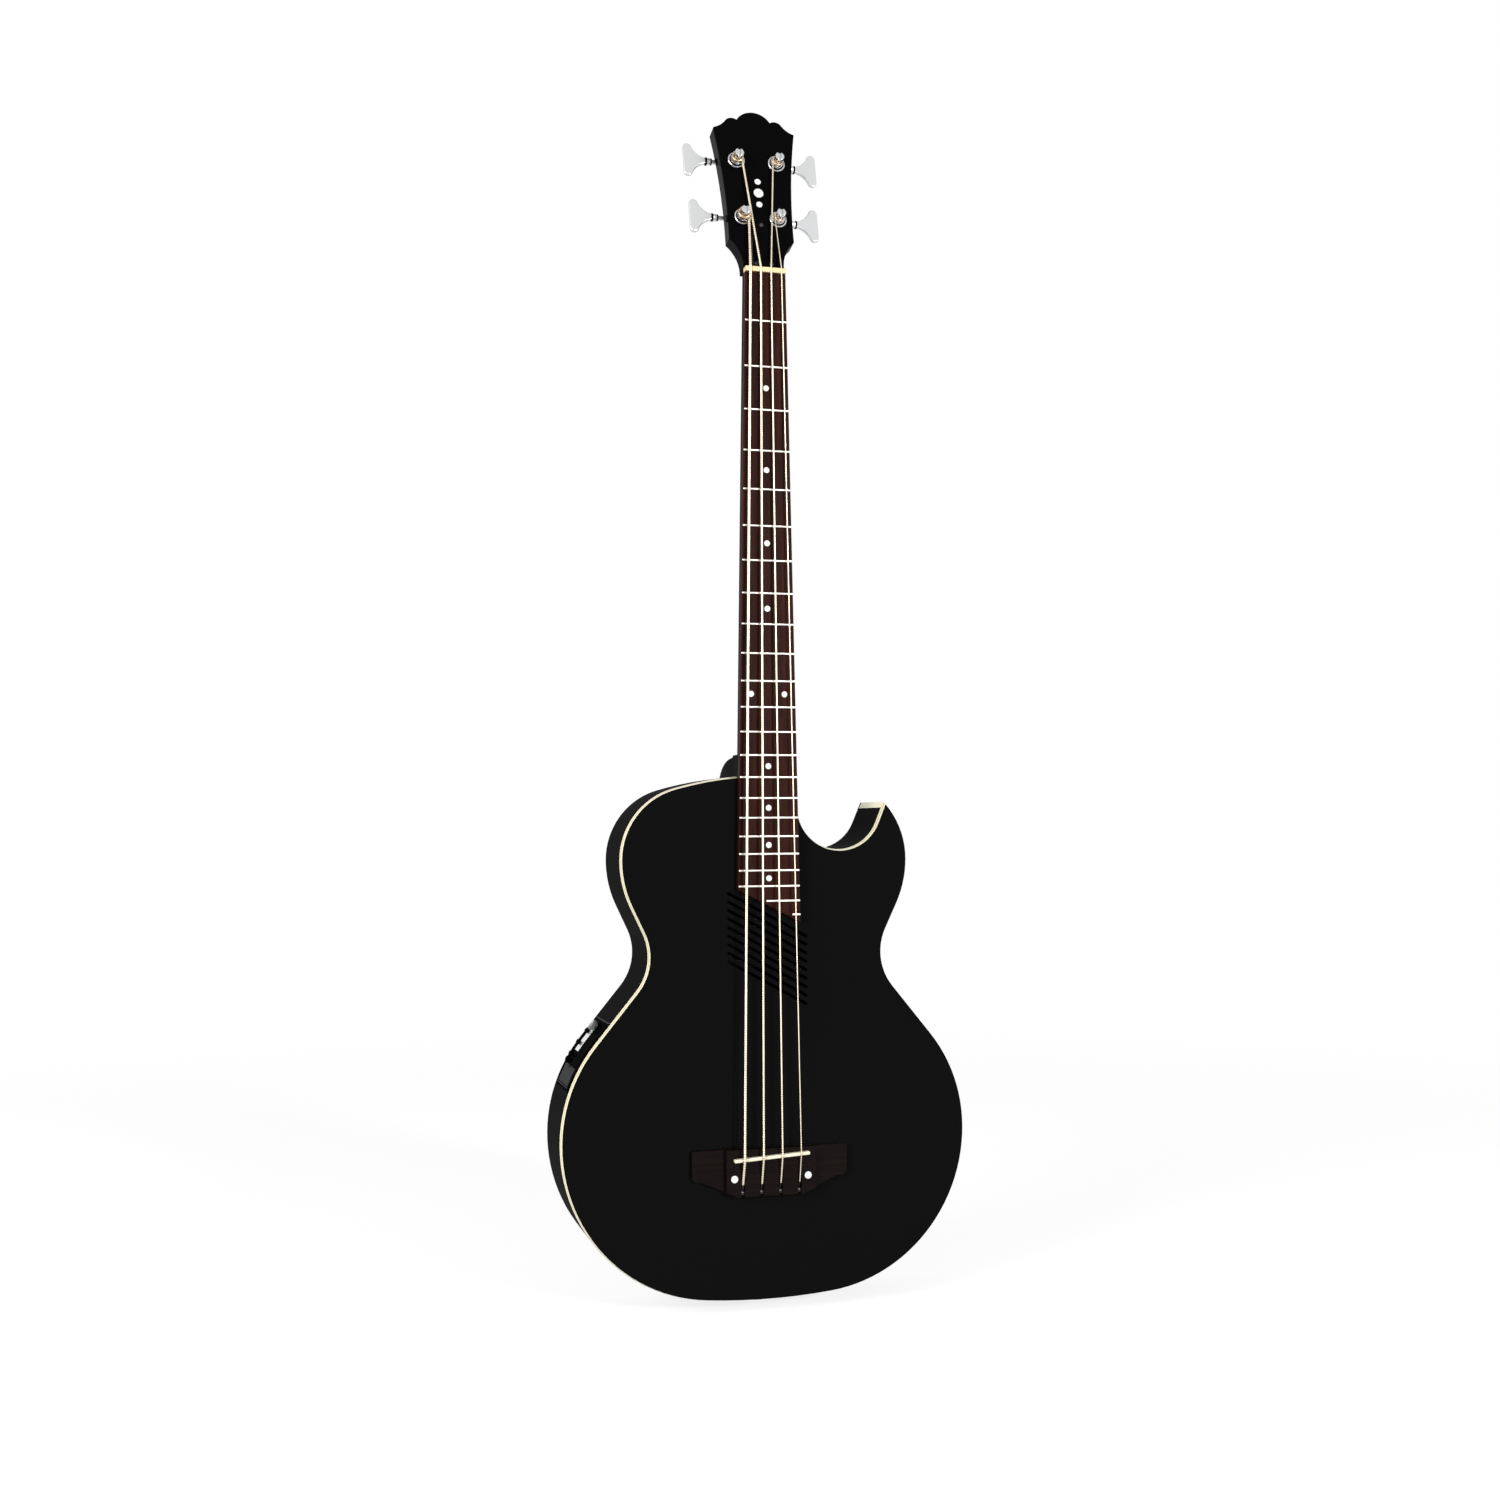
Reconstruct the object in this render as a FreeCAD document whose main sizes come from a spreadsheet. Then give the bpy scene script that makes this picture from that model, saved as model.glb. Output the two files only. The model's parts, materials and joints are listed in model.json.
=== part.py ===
import FreeCAD, Part
import Sketcher
import math
import os
import re

# Acoustic-electric bass guitar with a single cutaway, a slotted top and an open-geared head.
# The guitar stands on its tail: +Z runs up the neck, -Y faces the player's audience and +X is the
# treble side. The origin is on the centre line, at the tail's outer face, where the end jack goes
# in. Places in Y are first written from the soundboard's outer face, then moved to that origin.

Vector = FreeCAD.Vector
Placement = FreeCAD.Placement
Rotation = FreeCAD.Rotation

SIZES = [
    ("scale_length", 864, "string length from the nut to the nominal bridge line"),
    ("saddle_height", 144, "height of the nominal bridge line above the tail"),
    ("body_length", 509.5, "tail to the crown of the shoulders"),
    ("upper_share", 0.8381, "height of the upper bout's widest place, of the body's length"),
    ("upper_half", 146, "half width of the upper bout"),
    ("upper_flat", 27.7, "straight run between the upper bout and the waist"),
    ("shoulder_share", 0.873, "shoulder radius as a share of the shoulder's height"),
    ("waist_share", 0.6555, "height of the waist, of the body's length"),
    ("waist_draw", 27.5, "waist drawn in from the upper bout"),
    ("waist_turn", 52, "radius of the waist"),
    ("lower_share", 0.311, "height of the lower bout's widest place, of the body's length"),
    ("lower_half", 204, "half width of the lower bout"),
    ("lower_flat", 63.6, "straight run between the lower bout and the waist"),
    ("tail_share", 0.985, "radius of the lower corners as a share of their height"),
    ("horn_draw", 22.6, "horn's tip drawn in from the upper bout"),
    ("horn_spread", 5.4, "horn's tip beyond the cutaway's round"),
    ("horn_share", 0.949, "height of the horn's tip, of the body's length"),
    ("cut_side", 32.5, "cutaway wall beside the neck, from the centre line"),
    ("cut_share", 0.9401, "height of the centre of the cutaway's round, of the body's length"),
    ("tail_depth", 95, "depth of the body at the tail"),
    ("heel_depth", 78, "depth of the body at the neck"),
    ("back_turn", 4000, "radius of the arched back"),
    ("rim_wall", 2.2, "thickness of the sides"),
    ("top_thick", 3, "thickness of the soundboard"),
    ("top_lip", 0.6, "thickness of the soundboard's lip in front of the binding"),
    ("back_thick", 3, "thickness of the back"),
    ("binding_deep", 6.5, "height of the binding on the sides"),
    ("binding_draw", 1.7, "slant of the binding, drawn in at the soundboard's face"),
    ("tip_strip", 6, "height of the strip that caps the horn"),
    ("tip_thick", 1, "thickness of that strip"),
    ("lining_wide", 6.5, "width of the linings"),
    ("lining_tall", 12, "height of the linings"),
    ("slot_count", 9, "sound slots"),
    ("slot_wide", 3, "width of a sound slot"),
    ("slot_step", 8.3, "distance down from one slot to the next"),
    ("slot_span", 81, "width that the slots cover"),
    ("slot_slope", 28.6, "slope of the slots in degrees"),
    ("slot_gap", 9, "from the fingerboard's end to the first slot"),
    ("block_half", 30, "half width of the neck block"),
    ("block_tall", 64, "height of the neck block"),
    ("tail_block_half", 40, "half width of the tail block"),
    ("tail_block_tall", 20, "height of the tail block"),
    ("brace_wide", 8, "width of a brace"),
    ("brace_tall", 11, "height of a brace"),
    ("nut_width", 41.6, "width of the neck at the nut"),
    ("twelfth_width", 56.4, "width of the fingerboard at the twelfth fret"),
    ("board_thick", 6.7, "thickness of the fingerboard"),
    ("board_spare", 8.7, "middle of the fingerboard's slanted end above the last fret"),
    ("board_slope", 27.2, "slope of the fingerboard's end in degrees"),
    ("fret_count", 23, "frets"),
    ("fret_wide", 2.2, "width of a fret's crown"),
    ("fret_tall", 1.1, "height of a fret's crown"),
    ("fret_inset", 0.3, "fret end to the fingerboard's edge"),
    ("dot_radius", 2.9, "radius of a position dot"),
    ("dot_thick", 1.5, "thickness of a position dot"),
    ("dot_spread", 34, "distance between the two dots at the octave"),
    ("nut_thick", 5, "thickness of the nut"),
    ("nut_floor", 1.9, "string bottom above the fingerboard at the nut"),
    ("nut_rise", 3.4, "top of the nut above the fingerboard"),
    ("neck_nut_depth", 15, "depth of the neck's wood at the nut"),
    ("neck_heel_depth", 18.5, "depth of the neck's wood at the heel"),
    ("neck_cheek", 3, "straight side of the neck under the fingerboard"),
    ("heel_tall", 20, "height of the heel above the body"),
    ("heel_arc", 114, "radius of the heel's back"),
    ("heel_cap_half", 28, "half width of the heel's cap"),
    ("head_tilt", 13, "angle of the headstock in degrees"),
    ("veneer_thick", 2.8, "thickness of the headstock's face"),
    ("head_thick", 14.2, "thickness of the headstock's wood"),
    ("head_long", 158, "headstock corner above the nut"),
    ("head_top_half", 42.4, "half width of the headstock at its top corners"),
    ("head_low_half", 33.4, "half width of the headstock at its lower corners"),
    ("head_low", 33, "headstock's lower corners above the nut"),
    ("head_side_turn", 720, "radius of the headstock's hollow sides"),
    ("head_neck_half", 20.9, "half width of the headstock at the nut"),
    ("crest_rise", 21.5, "top of the crest above the corners"),
    ("crest_half", 17.6, "half width of the crest"),
    ("crest_foot", 11.3, "foot of the crest above the corners"),
    ("crest_turn", 20.3, "radius of the crest"),
    ("lobe_half", 29.3, "outer end of the small lobes"),
    ("lobe_foot", 9.6, "outer end of the small lobes above the corners"),
    ("lobe_turn", 8.5, "radius of the small lobes"),
    ("scoop_turn", 24, "radius of the hollow beside the corners"),
    ("neck_scoop_turn", 40, "radius of the taper from the headstock to the nut"),
    ("upper_post_half", 21, "upper tuning posts from the centre line"),
    ("upper_post_height", 121.4, "upper tuning posts above the nut"),
    ("lower_post_half", 18.3, "lower tuning posts from the centre line"),
    ("lower_post_height", 57, "lower tuning posts above the nut"),
    ("post_radius", 5, "radius of a tuning post in its bushing"),
    ("post_waist", 3.4, "radius of a tuning post inside its winding"),
    ("post_tall", 14.2, "tuning post above the headstock's face"),
    ("post_crown", 2.5, "height of the post's slotted top"),
    ("post_collar", 3.4, "top of the thick foot of a post above the face"),
    ("post_slot", 3.1, "width of the slot across a post"),
    ("running_gap", 0.06, "radial clearance of a turning fit"),
    ("moving_gap", 0.3, "clearance between moving pieces"),
    ("fit_gap", 0.1, "clearance round a fixed piece in its hole"),
    ("washer_radius", 8.7, "radius of a bushing's washer"),
    ("washer_thick", 1.2, "thickness of a bushing's washer"),
    ("collar_radius", 6.3, "radius of a bushing's raised ring"),
    ("collar_tall", 1.9, "height of a bushing's raised ring"),
    ("sleeve_radius", 6, "radius of a bushing's sleeve"),
    ("sleeve_long", 10, "length of a bushing's sleeve"),
    ("plate_wide", 24, "width of a tuner plate"),
    ("plate_above", 22, "tuner plate above the post"),
    ("plate_below", 16, "tuner plate below the post"),
    ("plate_thick", 1.6, "thickness of a tuner plate"),
    ("ear_thick", 3, "thickness of a worm bearing"),
    ("ear_half", 5.2, "half height of a worm bearing"),
    ("gear_teeth", 16, "teeth of the gear on a post"),
    ("gear_tip", 7.8, "outer radius of the gear"),
    ("gear_root", 6.7, "radius at the foot of the gear's teeth"),
    ("gear_thick", 4.6, "thickness of the gear"),
    ("gear_lift", 1.5, "gear above its plate, on the post's hub"),
    ("tooth_share", 0.30, "tooth width as a share of the gear's pitch"),
    ("worm_distance", 10.9, "from the post's axis to the worm's axis"),
    ("worm_core", 2.75, "radius of the worm's core"),
    ("thread_rise", 0.2, "middle of the thread above the worm's core"),
    ("thread_wire", 0.45, "radius of the worm's thread"),
    ("worm_turns", 3, "turns of the worm's thread"),
    ("worm_half", 5.6, "half length of the worm"),
    ("shaft_radius", 2.4, "radius of a key's shaft"),
    ("key_start", 25.4, "start of the key's paddle from the post's axis"),
    ("key_collar", 3.6, "radius of the collar beside the key"),
    ("key_collar_long", 4, "length of that collar"),
    ("key_long", 24, "length of the key's paddle"),
    ("key_half", 18.4, "half width of the key's paddle"),
    ("key_thick", 4.2, "thickness of the key's paddle"),
    ("key_stem_half", 3, "half width of the key's stem"),
    ("key_lobe", 4.6, "radius of the key's lobes"),
    ("key_hollow", 19.7, "radius of the hollow between the stem and a lobe"),
    ("key_edge", 1.2, "rounding of the key's edges"),
    ("nut_spread", 32, "outer strings at the nut"),
    ("saddle_spread", 57, "outer strings at the saddle"),
    ("gauge_e", 2.67, "diameter of the lowest string"),
    ("gauge_a", 2.16, "diameter of the second string"),
    ("gauge_d", 1.65, "diameter of the third string"),
    ("gauge_g", 1.14, "diameter of the highest string"),
    ("string_bend", 8, "radius of a string's bends"),
    ("winding_turns", 1.5, "turns of a string round its post"),
    ("winding_gap", 0.46, "gap between a winding's turns"),
    ("bridge_half", 78, "half width of the bridge"),
    ("bridge_top", 3.6, "bridge's upper edge above the nominal bridge line"),
    ("wing_low", 26.5, "wings' lower edge below the nominal bridge line"),
    ("wing_bevel", 4, "cut corner of a wing"),
    ("wing_flat", 10, "level part of a wing's lower edge, from its end"),
    ("wing_thick", 5, "thickness of the bridge's wings"),
    ("ridge_half", 45, "half width of the bridge's raised middle"),
    ("ridge_low", 41.5, "lower edge of the raised middle below the nominal bridge line"),
    ("ridge_bevel", 12, "width of the cut corner of the raised middle"),
    ("ridge_thick", 9.5, "thickness of the bridge's raised middle"),
    ("saddle_long", 76, "length of the saddle"),
    ("saddle_thick", 3.4, "thickness of the saddle"),
    ("saddle_slope", 3.4, "slant of the saddle in degrees"),
    ("saddle_back", 4.2, "middle of the saddle below the nominal bridge line"),
    ("saddle_rise", 4.9, "top of the saddle above the bridge"),
    ("saddle_seat", 4.5, "depth of the saddle's slot"),
    ("piezo_thick", 0.9, "thickness of the pickup strip"),
    ("piezo_wide", 2.6, "width of the pickup strip"),
    ("tie_slot", 3.4, "width of a string slot in the bridge"),
    ("tie_long", 23, "length of a string slot"),
    ("tie_depth", 5, "depth of a string slot"),
    ("ball_radius", 2.7, "radius of a ball end"),
    ("ball_wide", 4.4, "width of a ball end"),
    ("ball_bore", 3.9, "radius of the ball ends' bores"),
    ("ball_bore_long", 9, "length of the ball ends' bores"),
    ("ball_depth", 4.6, "axis of those bores above the soundboard"),
    ("bolt_spread", 74, "distance between the bridge's bolts"),
    ("bolt_back", 24, "bolts below the nominal bridge line"),
    ("bolt_radius", 2.5, "radius of a bridge bolt"),
    ("bolt_head", 3.1, "radius of a bridge bolt's head"),
    ("bolt_head_thick", 2.4, "thickness of that head"),
    ("bolt_nut", 4.5, "radius of a bridge bolt's nut"),
    ("bolt_nut_thick", 4, "thickness of that nut"),
    ("pearl_radius", 3.5, "radius of the dots on the bridge"),
    ("pearl_thick", 1.5, "thickness of the dots on the bridge"),
    ("patch_half", 76, "half width of the bridge plate"),
    ("patch_above", 8, "bridge plate above the nominal bridge line"),
    ("patch_below", 50, "bridge plate below the nominal bridge line"),
    ("patch_thick", 3, "thickness of the bridge plate"),
    ("rod_radius", 3, "radius of the truss rod"),
    ("rod_sunk", 5.5, "truss rod's axis under the fingerboard"),
    ("rod_above", 4, "truss rod's shoulder above the nut"),
    ("rod_nut_radius", 4.2, "radius of the truss rod's nut"),
    ("rod_nut_long", 9, "length of the truss rod's nut"),
    ("cover_half", 11.3, "half width of the truss rod cover"),
    ("cover_long", 52.5, "length of the truss rod cover"),
    ("cover_waist", 41, "height of the cover's shoulders"),
    ("cover_waist_half", 8, "half width of the cover's shoulders"),
    ("cover_thick", 1.5, "thickness of the truss rod cover"),
    ("cover_lift", 1.2, "cover's lower edge above the nut"),
    ("cover_pocket_half", 6, "half width of the pocket under the cover"),
    ("cover_pocket_long", 30, "length of the pocket under the cover"),
    ("screw_radius", 1.3, "radius of the small screws"),
    ("screw_head", 2.5, "radius of the small screws' heads"),
    ("screw_head_thick", 1.2, "thickness of the small screws' heads"),
    ("screw_long", 9, "length of the small screws"),
    ("inlay_height", 86, "middle of the headstock's inlay above the nut"),
    ("inlay_step", 13, "distance between the dots of the headstock's inlay"),
    ("inlay_radius", 5, "radius of the inlay's middle dot"),
    ("inlay_small", 3.2, "radius of the inlay's outer dots"),
    ("inlay_thick", 0.8, "thickness of the headstock's inlay"),
    ("preamp_drop", 62.7, "upper end of the preamp's frame below the waist"),
    ("preamp_tall", 63, "height of the preamp's frame"),
    ("preamp_front", 8, "front edge of the preamp's frame below the soundboard"),
    ("preamp_deep", 64, "depth of the preamp's frame"),
    ("preamp_lip", 2.5, "width of the frame's lip"),
    ("frame_proud", 2, "frame stands out of the side"),
    ("pod_proud", 0.8, "preamp's face stands out of the side"),
    ("pod_reach", 8.1, "inner face of the preamp from the side at the frame's top"),
    ("knob_drop", 8, "volume knob below the frame's top"),
    ("knob_deep", 42, "volume knob behind the frame's front edge"),
    ("knob_radius", 5, "radius of the volume knob"),
    ("knob_tall", 5.5, "height of the volume knob"),
    ("knob_stem", 2, "radius of the volume knob's stem"),
    ("knob_stem_long", 5, "length of the volume knob's stem"),
    ("slider_drop", 13.5, "first slider below the frame's top"),
    ("slider_step", 10.6, "distance between the sliders"),
    ("slider_deep", 54.5, "sliders behind the frame's front edge"),
    ("slider_travel", 3.5, "travel of a slider to each side"),
    ("slider_cap", 4, "width of a slider's cap"),
    ("slider_cap_deep", 5, "depth of a slider's cap"),
    ("slider_cap_tall", 4, "height of a slider's cap"),
    ("slider_stem", 1.2, "thickness of a slider's stem"),
    ("slider_stem_long", 4, "length of a slider's stem in the preamp"),
    ("label_deep", 37.5, "silver label behind the frame's front edge"),
    ("label_wide", 17, "width of the silver label"),
    ("label_drop", 5, "silver label below the frame's top"),
    ("label_tall", 25, "height of the silver label"),
    ("label_thick", 0.3, "thickness of the silver label"),
    ("button_deep", 56, "phase button behind the frame's front edge"),
    ("button_drop", 40, "phase button below the frame's top"),
    ("button_radius", 2.4, "radius of the phase button"),
    ("button_tall", 3.6, "phase button above the preamp's face"),
    ("button_travel", 1.2, "travel of the phase button"),
    ("door_drop", 50.9, "middle of the battery door below the frame's top"),
    ("door_tall", 18.4, "height of the battery door"),
    ("door_deep", 50, "depth of the battery door"),
    ("door_thick", 1.8, "thickness of the battery door"),
    ("door_pin", 1, "radius of the battery door's hinge pin"),
    ("door_tab", 2, "height of the tab that opens the battery door"),
    ("battery_long", 47.5, "length of the battery"),
    ("battery_wide", 25.5, "width of the battery"),
    ("battery_thick", 16.5, "thickness of the battery"),
    ("battery_gap", 0.4, "clearance round the battery"),
    ("plug_radius", 3.25, "radius of the jack's bore"),
    ("jack_radius", 6, "radius of the jack's barrel"),
    ("jack_flange", 9, "radius of the jack's washer"),
    ("jack_flange_thick", 1.5, "thickness of the jack's washer"),
    ("jack_stub", 10, "jack stands out of the tail"),
    ("jack_rim", 8.4, "radius of the jack's outer rim"),
    ("jack_rim_thick", 2.5, "thickness of the jack's outer rim"),
    ("jack_inside", 30, "jack's barrel inside the body"),
    ("jack_nut", 8.5, "radius of the jack's nut"),
    ("jack_nut_thick", 3, "thickness of the jack's nut"),
    ("strap_drop", 31.5, "strap button below the crown of the shoulders"),
    ("strap_base", 7, "radius of the strap button's foot and head"),
    ("strap_waist", 4.4, "radius of the strap button's waist"),
    ("strap_long", 12, "length of the strap button"),
    ("lead_radius", 1.2, "radius of the leads inside the body"),
    ("overrun", 1, "overrun of the cuts"),
]

doc = FreeCAD.newDocument("acoustic_bass")
sheet = doc.addObject("Spreadsheet::Sheet", "sizes")
for row, (alias, number, note) in enumerate(SIZES, 1):
    sheet.set("A%d" % row, note)
    sheet.set("B%d" % row, str(number))
    sheet.setAlias("B%d" % row, alias)
doc.recompute()

ALIASES = {alias for alias, number, note in SIZES}
STRINGS = ("e", "a", "d", "g")
parts = {}


def qualified(text):
    """An expression of size names, with the sheet's name before each."""
    def full(match):
        word = match.group(0)
        return "sizes." + word if word in ALIASES else word
    return re.sub(r"[A-Za-z_][A-Za-z_0-9]*", full, text)


def value(text):
    """The number that an expression of size names gives."""
    return float(sheet.evalExpression(qualified(text)))


def bind(item, place, text):
    item.setExpression(place, qualified(text))


def grow(base, *terms):
    """A sum of expressions, written as one expression."""
    return "(" + ") + (".join((base,) + terms) + ")"


# Places that several pieces share

NUT = "(saddle_height + scale_length)"
NUT_BACK = "(saddle_height + scale_length + nut_thick)"
FACE = "(0 - tail_depth / 2)"
UPPER_HEIGHT = "(body_length * upper_share)"
WAIST_HEIGHT = "(body_length * waist_share)"
LOWER_HEIGHT = "(body_length * lower_share)"
PREAMP_TOP = "(body_length * waist_share - preamp_drop)"
STRAP_HEIGHT = "(body_length - strap_drop)"
TAPER = "((twelfth_width - nut_width) / scale_length)"
HEAD_BACK = "(veneer_thick + head_thick)"
SADDLE = "(saddle_height - saddle_back)"


def board_half(height):
    """Half width of the fingerboard at a height."""
    return "(nut_width / 2 + (%s - (%s)) * %s)" % (NUT, height, TAPER)


def fret_height(number):
    return "(saddle_height + scale_length * 2 ^ (0 - %s / 12))" % number


BOARD_END = "(%s + board_spare)" % fret_height("fret_count")


def face_placement():
    return Placement(Vector(0, value(FACE), 0), Rotation())


def head_in_neck():
    """The headstock's frame as the neck sees it: Y into the wood, Z up the face from the nut."""
    base = Vector(0, -value("veneer_thick"), value(NUT_BACK))
    return Placement(base, Rotation(Vector(1, 0, 0), -value("head_tilt")))


def head_placement():
    """The headstock's frame in its final place."""
    return face_placement().multiply(head_in_neck())


def deliver(item, label, placement=None):
    """Name a finished piece and put it in its place."""
    item.Label = label
    item.Placement = placement if placement is not None else face_placement()
    parts[label] = item


def feature(label, shape, placement=None):
    item = doc.addObject("Part::Feature", label + "_solid")
    item.Shape = shape
    place = placement if placement is not None else face_placement()
    deliver(item, label, place.multiply(shape.Placement))
    return item


def box(name, corner, extent):
    """A block from its low corner and its extent, both as expressions."""
    item = doc.addObject("Part::Box", name)
    for axis, text in zip("xyz", corner):
        bind(item, "Placement.Base." + axis, text)
    for side, text in zip(("Length", "Width", "Height"), extent):
        bind(item, side, text)
    return item


def rod(name, radius, length, foot, toward=(0, 0, 1), end_radius=None):
    """A cylinder or cone on its foot point, pointing along toward."""
    item = doc.addObject("Part::Cylinder" if end_radius is None else "Part::Cone", name)
    item.Placement = Placement(Vector(), Rotation(Vector(0, 0, 1), Vector(*toward)))
    for axis, text in zip("xyz", foot):
        bind(item, "Placement.Base." + axis, text)
    if end_radius is None:
        bind(item, "Radius", radius)
    else:
        bind(item, "Radius1", radius)
        bind(item, "Radius2", end_radius)
    bind(item, "Height", length)
    return item


def union(name, items):
    item = doc.addObject("Part::MultiFuse", name)
    item.Shapes = items
    return item


def without(name, base, tools):
    item = doc.addObject("Part::Cut", name)
    item.Base = base
    item.Tool = tools[0] if len(tools) == 1 else union(name + "_tools", tools)
    return item


def group(name, items):
    """Separate solids that are one piece of the list, such as a set of screws."""
    item = doc.addObject("Part::Compound", name)
    item.Links = items
    return item


# Sketches

def origin_plane(body, role):
    return [item for item in body.Origin.OriginFeatures if item.Role == role][0]


def draw_path(sketch, corners):
    """Closed path of lines and arcs through corners, each corner bound to the sheet.

    A corner is (x, y) or (x, y, radius, turn): the last two bend the edge that leads to it, and
    turn is 1 to the left or -1 to the right.
    """
    points = [Vector(value(corner[0]), value(corner[1]), 0) for corner in corners]
    ends = []
    for index, corner in enumerate(corners):
        start = points[index - 1]
        end = points[index]
        if len(corner) == 2:
            number = sketch.addGeometry(Part.LineSegment(start, end), False)
            ends.append((number, 1, 2))
            continue
        radius = value(corner[2])
        chord = end - start
        side = Vector(-chord.y, chord.x, 0).normalize() * corner[3]
        centre = (start + end) * 0.5 + side * math.sqrt(radius ** 2 - (chord.Length / 2) ** 2)
        first, last = (start, end) if corner[3] > 0 else (end, start)
        angles = [math.atan2(spot.y - centre.y, spot.x - centre.x) for spot in (first, last)]
        circle = Part.Circle(centre, Vector(0, 0, 1), radius)
        number = sketch.addGeometry(Part.ArcOfCircle(circle, angles[0], angles[1]), False)
        ends.append((number, 1, 2) if corner[3] > 0 else (number, 2, 1))
    for index, corner in enumerate(corners):
        number, start, end = ends[index]
        following = ends[(index + 1) % len(ends)]
        sketch.addConstraint(_coincident(number, end, following[0], following[1]))
        for kind, text in (("DistanceX", corner[0]), ("DistanceY", corner[1])):
            place = sketch.addConstraint(_distance(kind, number, end, value(text)))
            bind(sketch, "Constraints[%d]" % place, text)
        if len(corner) == 4:
            place = sketch.addConstraint(_radius(number, value(corner[2])))
            bind(sketch, "Constraints[%d]" % place, corner[2])


def draw_circle(sketch, x, y, radius):
    circle = Part.Circle(Vector(value(x), value(y), 0), Vector(0, 0, 1), value(radius))
    number = sketch.addGeometry(circle, False)
    for kind, text in (("DistanceX", x), ("DistanceY", y)):
        place = sketch.addConstraint(_distance(kind, number, 3, value(text)))
        bind(sketch, "Constraints[%d]" % place, text)
    place = sketch.addConstraint(_radius(number, value(radius)))
    bind(sketch, "Constraints[%d]" % place, radius)


def _coincident(first, first_end, second, second_end):
    return Sketcher.Constraint("Coincident", first, first_end, second, second_end)


def _distance(kind, number, end, amount):
    return Sketcher.Constraint(kind, -1, 1, number, end, amount)


def _radius(number, amount):
    return Sketcher.Constraint("Radius", number, amount)


def sketch_on(body, role, name, offset=None):
    item = body.newObject("Sketcher::SketchObject", name)
    item.AttachmentSupport = (origin_plane(body, role), "")
    item.MapMode = "FlatFace"
    if offset is not None:
        bind(item, "AttachmentOffset.Base.z", offset)
    return item


def padded(name, role, corners, length, offset=None, both_ways=False):
    """A body with one padded sketch."""
    body = doc.addObject("PartDesign::Body", name)
    sketch = sketch_on(body, role, name + "_outline", offset)
    draw_path(sketch, corners)
    pad = body.newObject("PartDesign::Pad", name + "_pad")
    pad.Profile = sketch
    pad.Midplane = both_ways
    bind(pad, "Length", length)
    return body


# The body's outline, as tangent arcs and lines in the plane of the soundboard

def spot(x, z):
    return Vector(x, 0, z)


def polar(centre, radius, degrees):
    angle = math.radians(degrees)
    return centre + spot(radius * math.cos(angle), radius * math.sin(angle))


def arc(centre, radius, start, end):
    """An arc between two directions, in degrees from +X towards +Z."""
    middle = (start + end) / 2
    places = [polar(centre, radius, angle) for angle in (start, middle, end)]
    return Part.Arc(*places).toShape()


def heading(centre, place):
    return math.degrees(math.atan2(place.z - centre.z, place.x - centre.x))


def crossed_tangent(first, first_radius, second, second_radius, turn):
    """The line that touches two circles on opposite sides, as its two ends."""
    way = second - first
    lean = math.degrees(math.acos((first_radius + second_radius) / way.Length))
    angle = heading(first, second) + turn * lean
    return polar(first, first_radius, angle), polar(second, -second_radius, angle)


def closing_radius(side, height, radius):
    """Radius of the arc on the centre line that runs on from a corner arc."""
    return (side ** 2 + height ** 2 - radius ** 2) / (2 * (height - radius))


def flipped(shape):
    return shape.mirror(Vector(), Vector(1, 0, 0))


def flowing_radius(half, height, waist_half, waist_height, waist_turn, flat):
    """Radius of a bout whose arc flows into the waist's arc along a straight run of length flat."""
    across = waist_half + waist_turn - half
    up = waist_height - height
    spare = across ** 2 + up ** 2 - waist_turn ** 2 - flat ** 2
    return spare / (2 * (waist_turn - across))


UPPER = value(UPPER_HEIGHT)
LOWER = value(LOWER_HEIGHT)
LENGTH = value("body_length")
waist_places = (value("upper_half - waist_draw"), value(WAIST_HEIGHT), value("waist_turn"))
upper_turn = flowing_radius(value("upper_half"), UPPER, *waist_places, value("upper_flat"))
lower_turn = flowing_radius(value("lower_half"), LOWER, *waist_places, value("lower_flat"))
shoulder_turn = value("shoulder_share") * (LENGTH - UPPER)
corner_turn = value("tail_share") * LOWER
crown_turn = closing_radius(value("upper_half") - shoulder_turn, LENGTH - UPPER, shoulder_turn)
tail_turn = closing_radius(value("lower_half") - corner_turn, LOWER, corner_turn)
upper_centre = spot(value("upper_half") - upper_turn, UPPER)
waist_centre = spot(value("upper_half - waist_draw + waist_turn"), value(WAIST_HEIGHT))
lower_centre = spot(value("lower_half") - lower_turn, LOWER)
corner_centre = spot(value("lower_half") - corner_turn, LOWER)
tail_centre = spot(0, tail_turn)
crown_centre = spot(0, LENGTH - crown_turn)
shoulder_centre = spot(shoulder_turn - value("upper_half"), UPPER)
horn_tip = spot(value("upper_half - horn_draw"), value("body_length * horn_share"))
horn_turn = (value("horn_draw") ** 2 + (horn_tip.z - UPPER) ** 2) / value("horn_draw * 2")
horn_centre = spot(value("upper_half") - horn_turn, UPPER)
cut_turn = (horn_tip.x - value("horn_spread + cut_side")) / 2
cut_centre = spot(value("cut_side") + cut_turn, value("body_length * cut_share"))


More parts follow.
